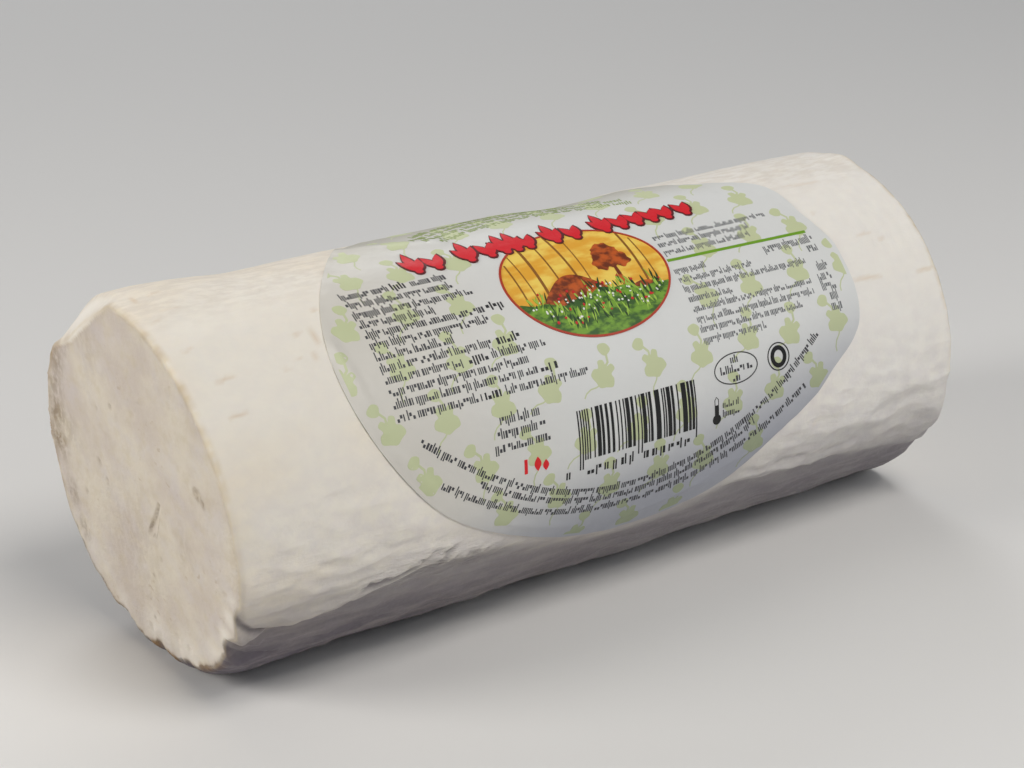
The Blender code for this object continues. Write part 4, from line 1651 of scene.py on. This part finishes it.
def make_picture():
    draw = random.Random(33)
    sky = print_layer(2)
    sky.add(oval(*PICTURE_PLACE, *PICTURE_HALF, 72))
    amber = picture_look("paint_amber", shade(246, 212, 98), shade(232, 170, 54), (7, 3, 9))
    sky.make("picture_sky", amber)
    trunks = print_layer(3)
    for x, wide in TRUNKS:
        across = (x - PICTURE_PLACE[0]) / PICTURE_HALF[0]
        top = PICTURE_PLACE[1] + PICTURE_HALF[1] * math.sqrt(1.0 - across ** 2)
        lean = 0.5 * math.sin(x)
        path = [(x + lean * k / 20, 33.0 + (top - 0.6 - 33.0) * k / 20) for k in range(21)]
        trunks.add_band(path, wide)
    trunks.make("picture_trunks", ink_look("paint_bark", shade(142, 92, 34)))
    hill = print_layer(4)
    hill.add(under_line(hill_level))
    for x, arc, half_x, half_arc in CROWNS:
        crown = oval(x, arc, half_x, half_arc, 28)
        hill.add([(px + 0.3 * math.sin(3.1 * py), py + 0.25 * math.sin(2.7 * px)) for px, py in crown])
    hill.add([(7.8, 33.0), (9.4, 33.0), (9.0, 40.6), (8.3, 40.6)])
    rust = picture_look("paint_rust", shade(196, 92, 34), shade(112, 48, 20), (2.5, 2, 2))
    hill.make("picture_hill", rust)
    meadow = print_layer(5)
    meadow.add(under_line(ground_level))
    green = picture_look("paint_green", shade(120, 164, 48), shade(52, 92, 30), (3, 1.5, 1.5))
    meadow.make("picture_meadow", green)
    dark_grass = print_layer(6)
    scatter_petals(dark_grass, draw, 110, -7.5, 0.6, (1.4, 3.2), (0.3, 0.6))
    dark_grass.make("picture_dark_grass", ink_look("paint_dark_green", shade(34, 62, 24)))
    light_grass = print_layer(7)
    scatter_petals(light_grass, draw, 110, -8.0, 0.9, (1.4, 3.4), (0.25, 0.55))
    light_grass.make("picture_light_grass", ink_look("paint_light_green", shade(158, 194, 74)))
    white = print_layer(8)
    scatter_dots(white, draw, 64, -4.0, 1.2, (0.16, 0.3))
    white.make("picture_white_flowers", ink_look("paint_white", shade(238, 238, 230)))
    red = print_layer(9)
    scatter_dots(red, draw, 30, -5.5, 2.6, (0.2, 0.4))
    red.make("picture_red_flowers", ink_look("paint_red", shade(204, 36, 40)))
    rim = print_layer(7)
    rim.add_band(oval(*PICTURE_PLACE, *PICTURE_HALF, 96), 0.5, True)
    rim.make("picture_rim", ink_look("paint_rim", shade(176, 58, 34)))


# Stage, lights and camera

def make_camera():
    back = Vector((math.sin(CAMERA_AZIMUTH) * math.cos(CAMERA_ELEVATION),
                   -math.cos(CAMERA_AZIMUTH) * math.cos(CAMERA_ELEVATION),
                   math.sin(CAMERA_ELEVATION)))
    right = Vector((math.cos(CAMERA_AZIMUTH), math.sin(CAMERA_AZIMUTH), 0.0))
    up = back.cross(right)
    data = bpy.data.cameras.new("camera")
    data.sensor_width = SENSOR
    data.lens = FOCAL_PIXELS / PICTURE_WIDTH * SENSOR
    data.clip_start = 0.02
    camera = put_in_scene("camera", data)
    centre = Vector((AXIS_X, AXIS_Y, AXIS_HEIGHT))
    centre -= CAMERA_RIGHT_SHIFT * right + CAMERA_UP_SHIFT * up
    camera.location = (centre + CAMERA_DISTANCE * back) * MM
    camera.rotation_euler = back.to_track_quat("Z", "Y").to_euler()
    bpy.context.scene.camera = camera


def make_lights():
    for name, place, target, width, power, colour in LIGHTS:
        data = bpy.data.lights.new(name, "AREA")
        data.shape = "DISK"
        data.size = width
        data.energy = power
        data.color = colour
        light = put_in_scene(name, data)
        light.location = place
        light.rotation_euler = (Vector(place) - Vector(target)).to_track_quat("Z", "Y").to_euler()
    world = bpy.data.worlds.new("studio")
    world.use_nodes = True
    background = world.node_tree.nodes["Background"]
    background.inputs["Color"].default_value = (*WORLD_COLOUR, 1.0)
    background.inputs["Strength"].default_value = WORLD_STRENGTH
    bpy.context.scene.world = world
    bpy.context.scene.view_settings.view_transform = "Standard"


def make_floor():
    look = Look("floor")
    look.set(Base_Color=FLOOR_COLOUR, Roughness=0.9, Specular_IOR_Level=0.1)
    corners = [(x * FLOOR_HALF, y * FLOOR_HALF, 0.0) for x, y in ((-1, -1), (1, -1), (1, 1), (-1, 1))]
    data = bpy.data.meshes.new("floor")
    data.from_pydata(corners, [], [(0, 1, 2, 3)])
    data.materials.append(look.material)
    put_in_scene("floor", data)


make_camera()
make_lights()
make_floor()
log = make_log()
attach(log, "root")
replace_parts(log, "cheese_log")
make_film()
make_leaves()
make_words()
make_marks()
make_picture()
make_headline()
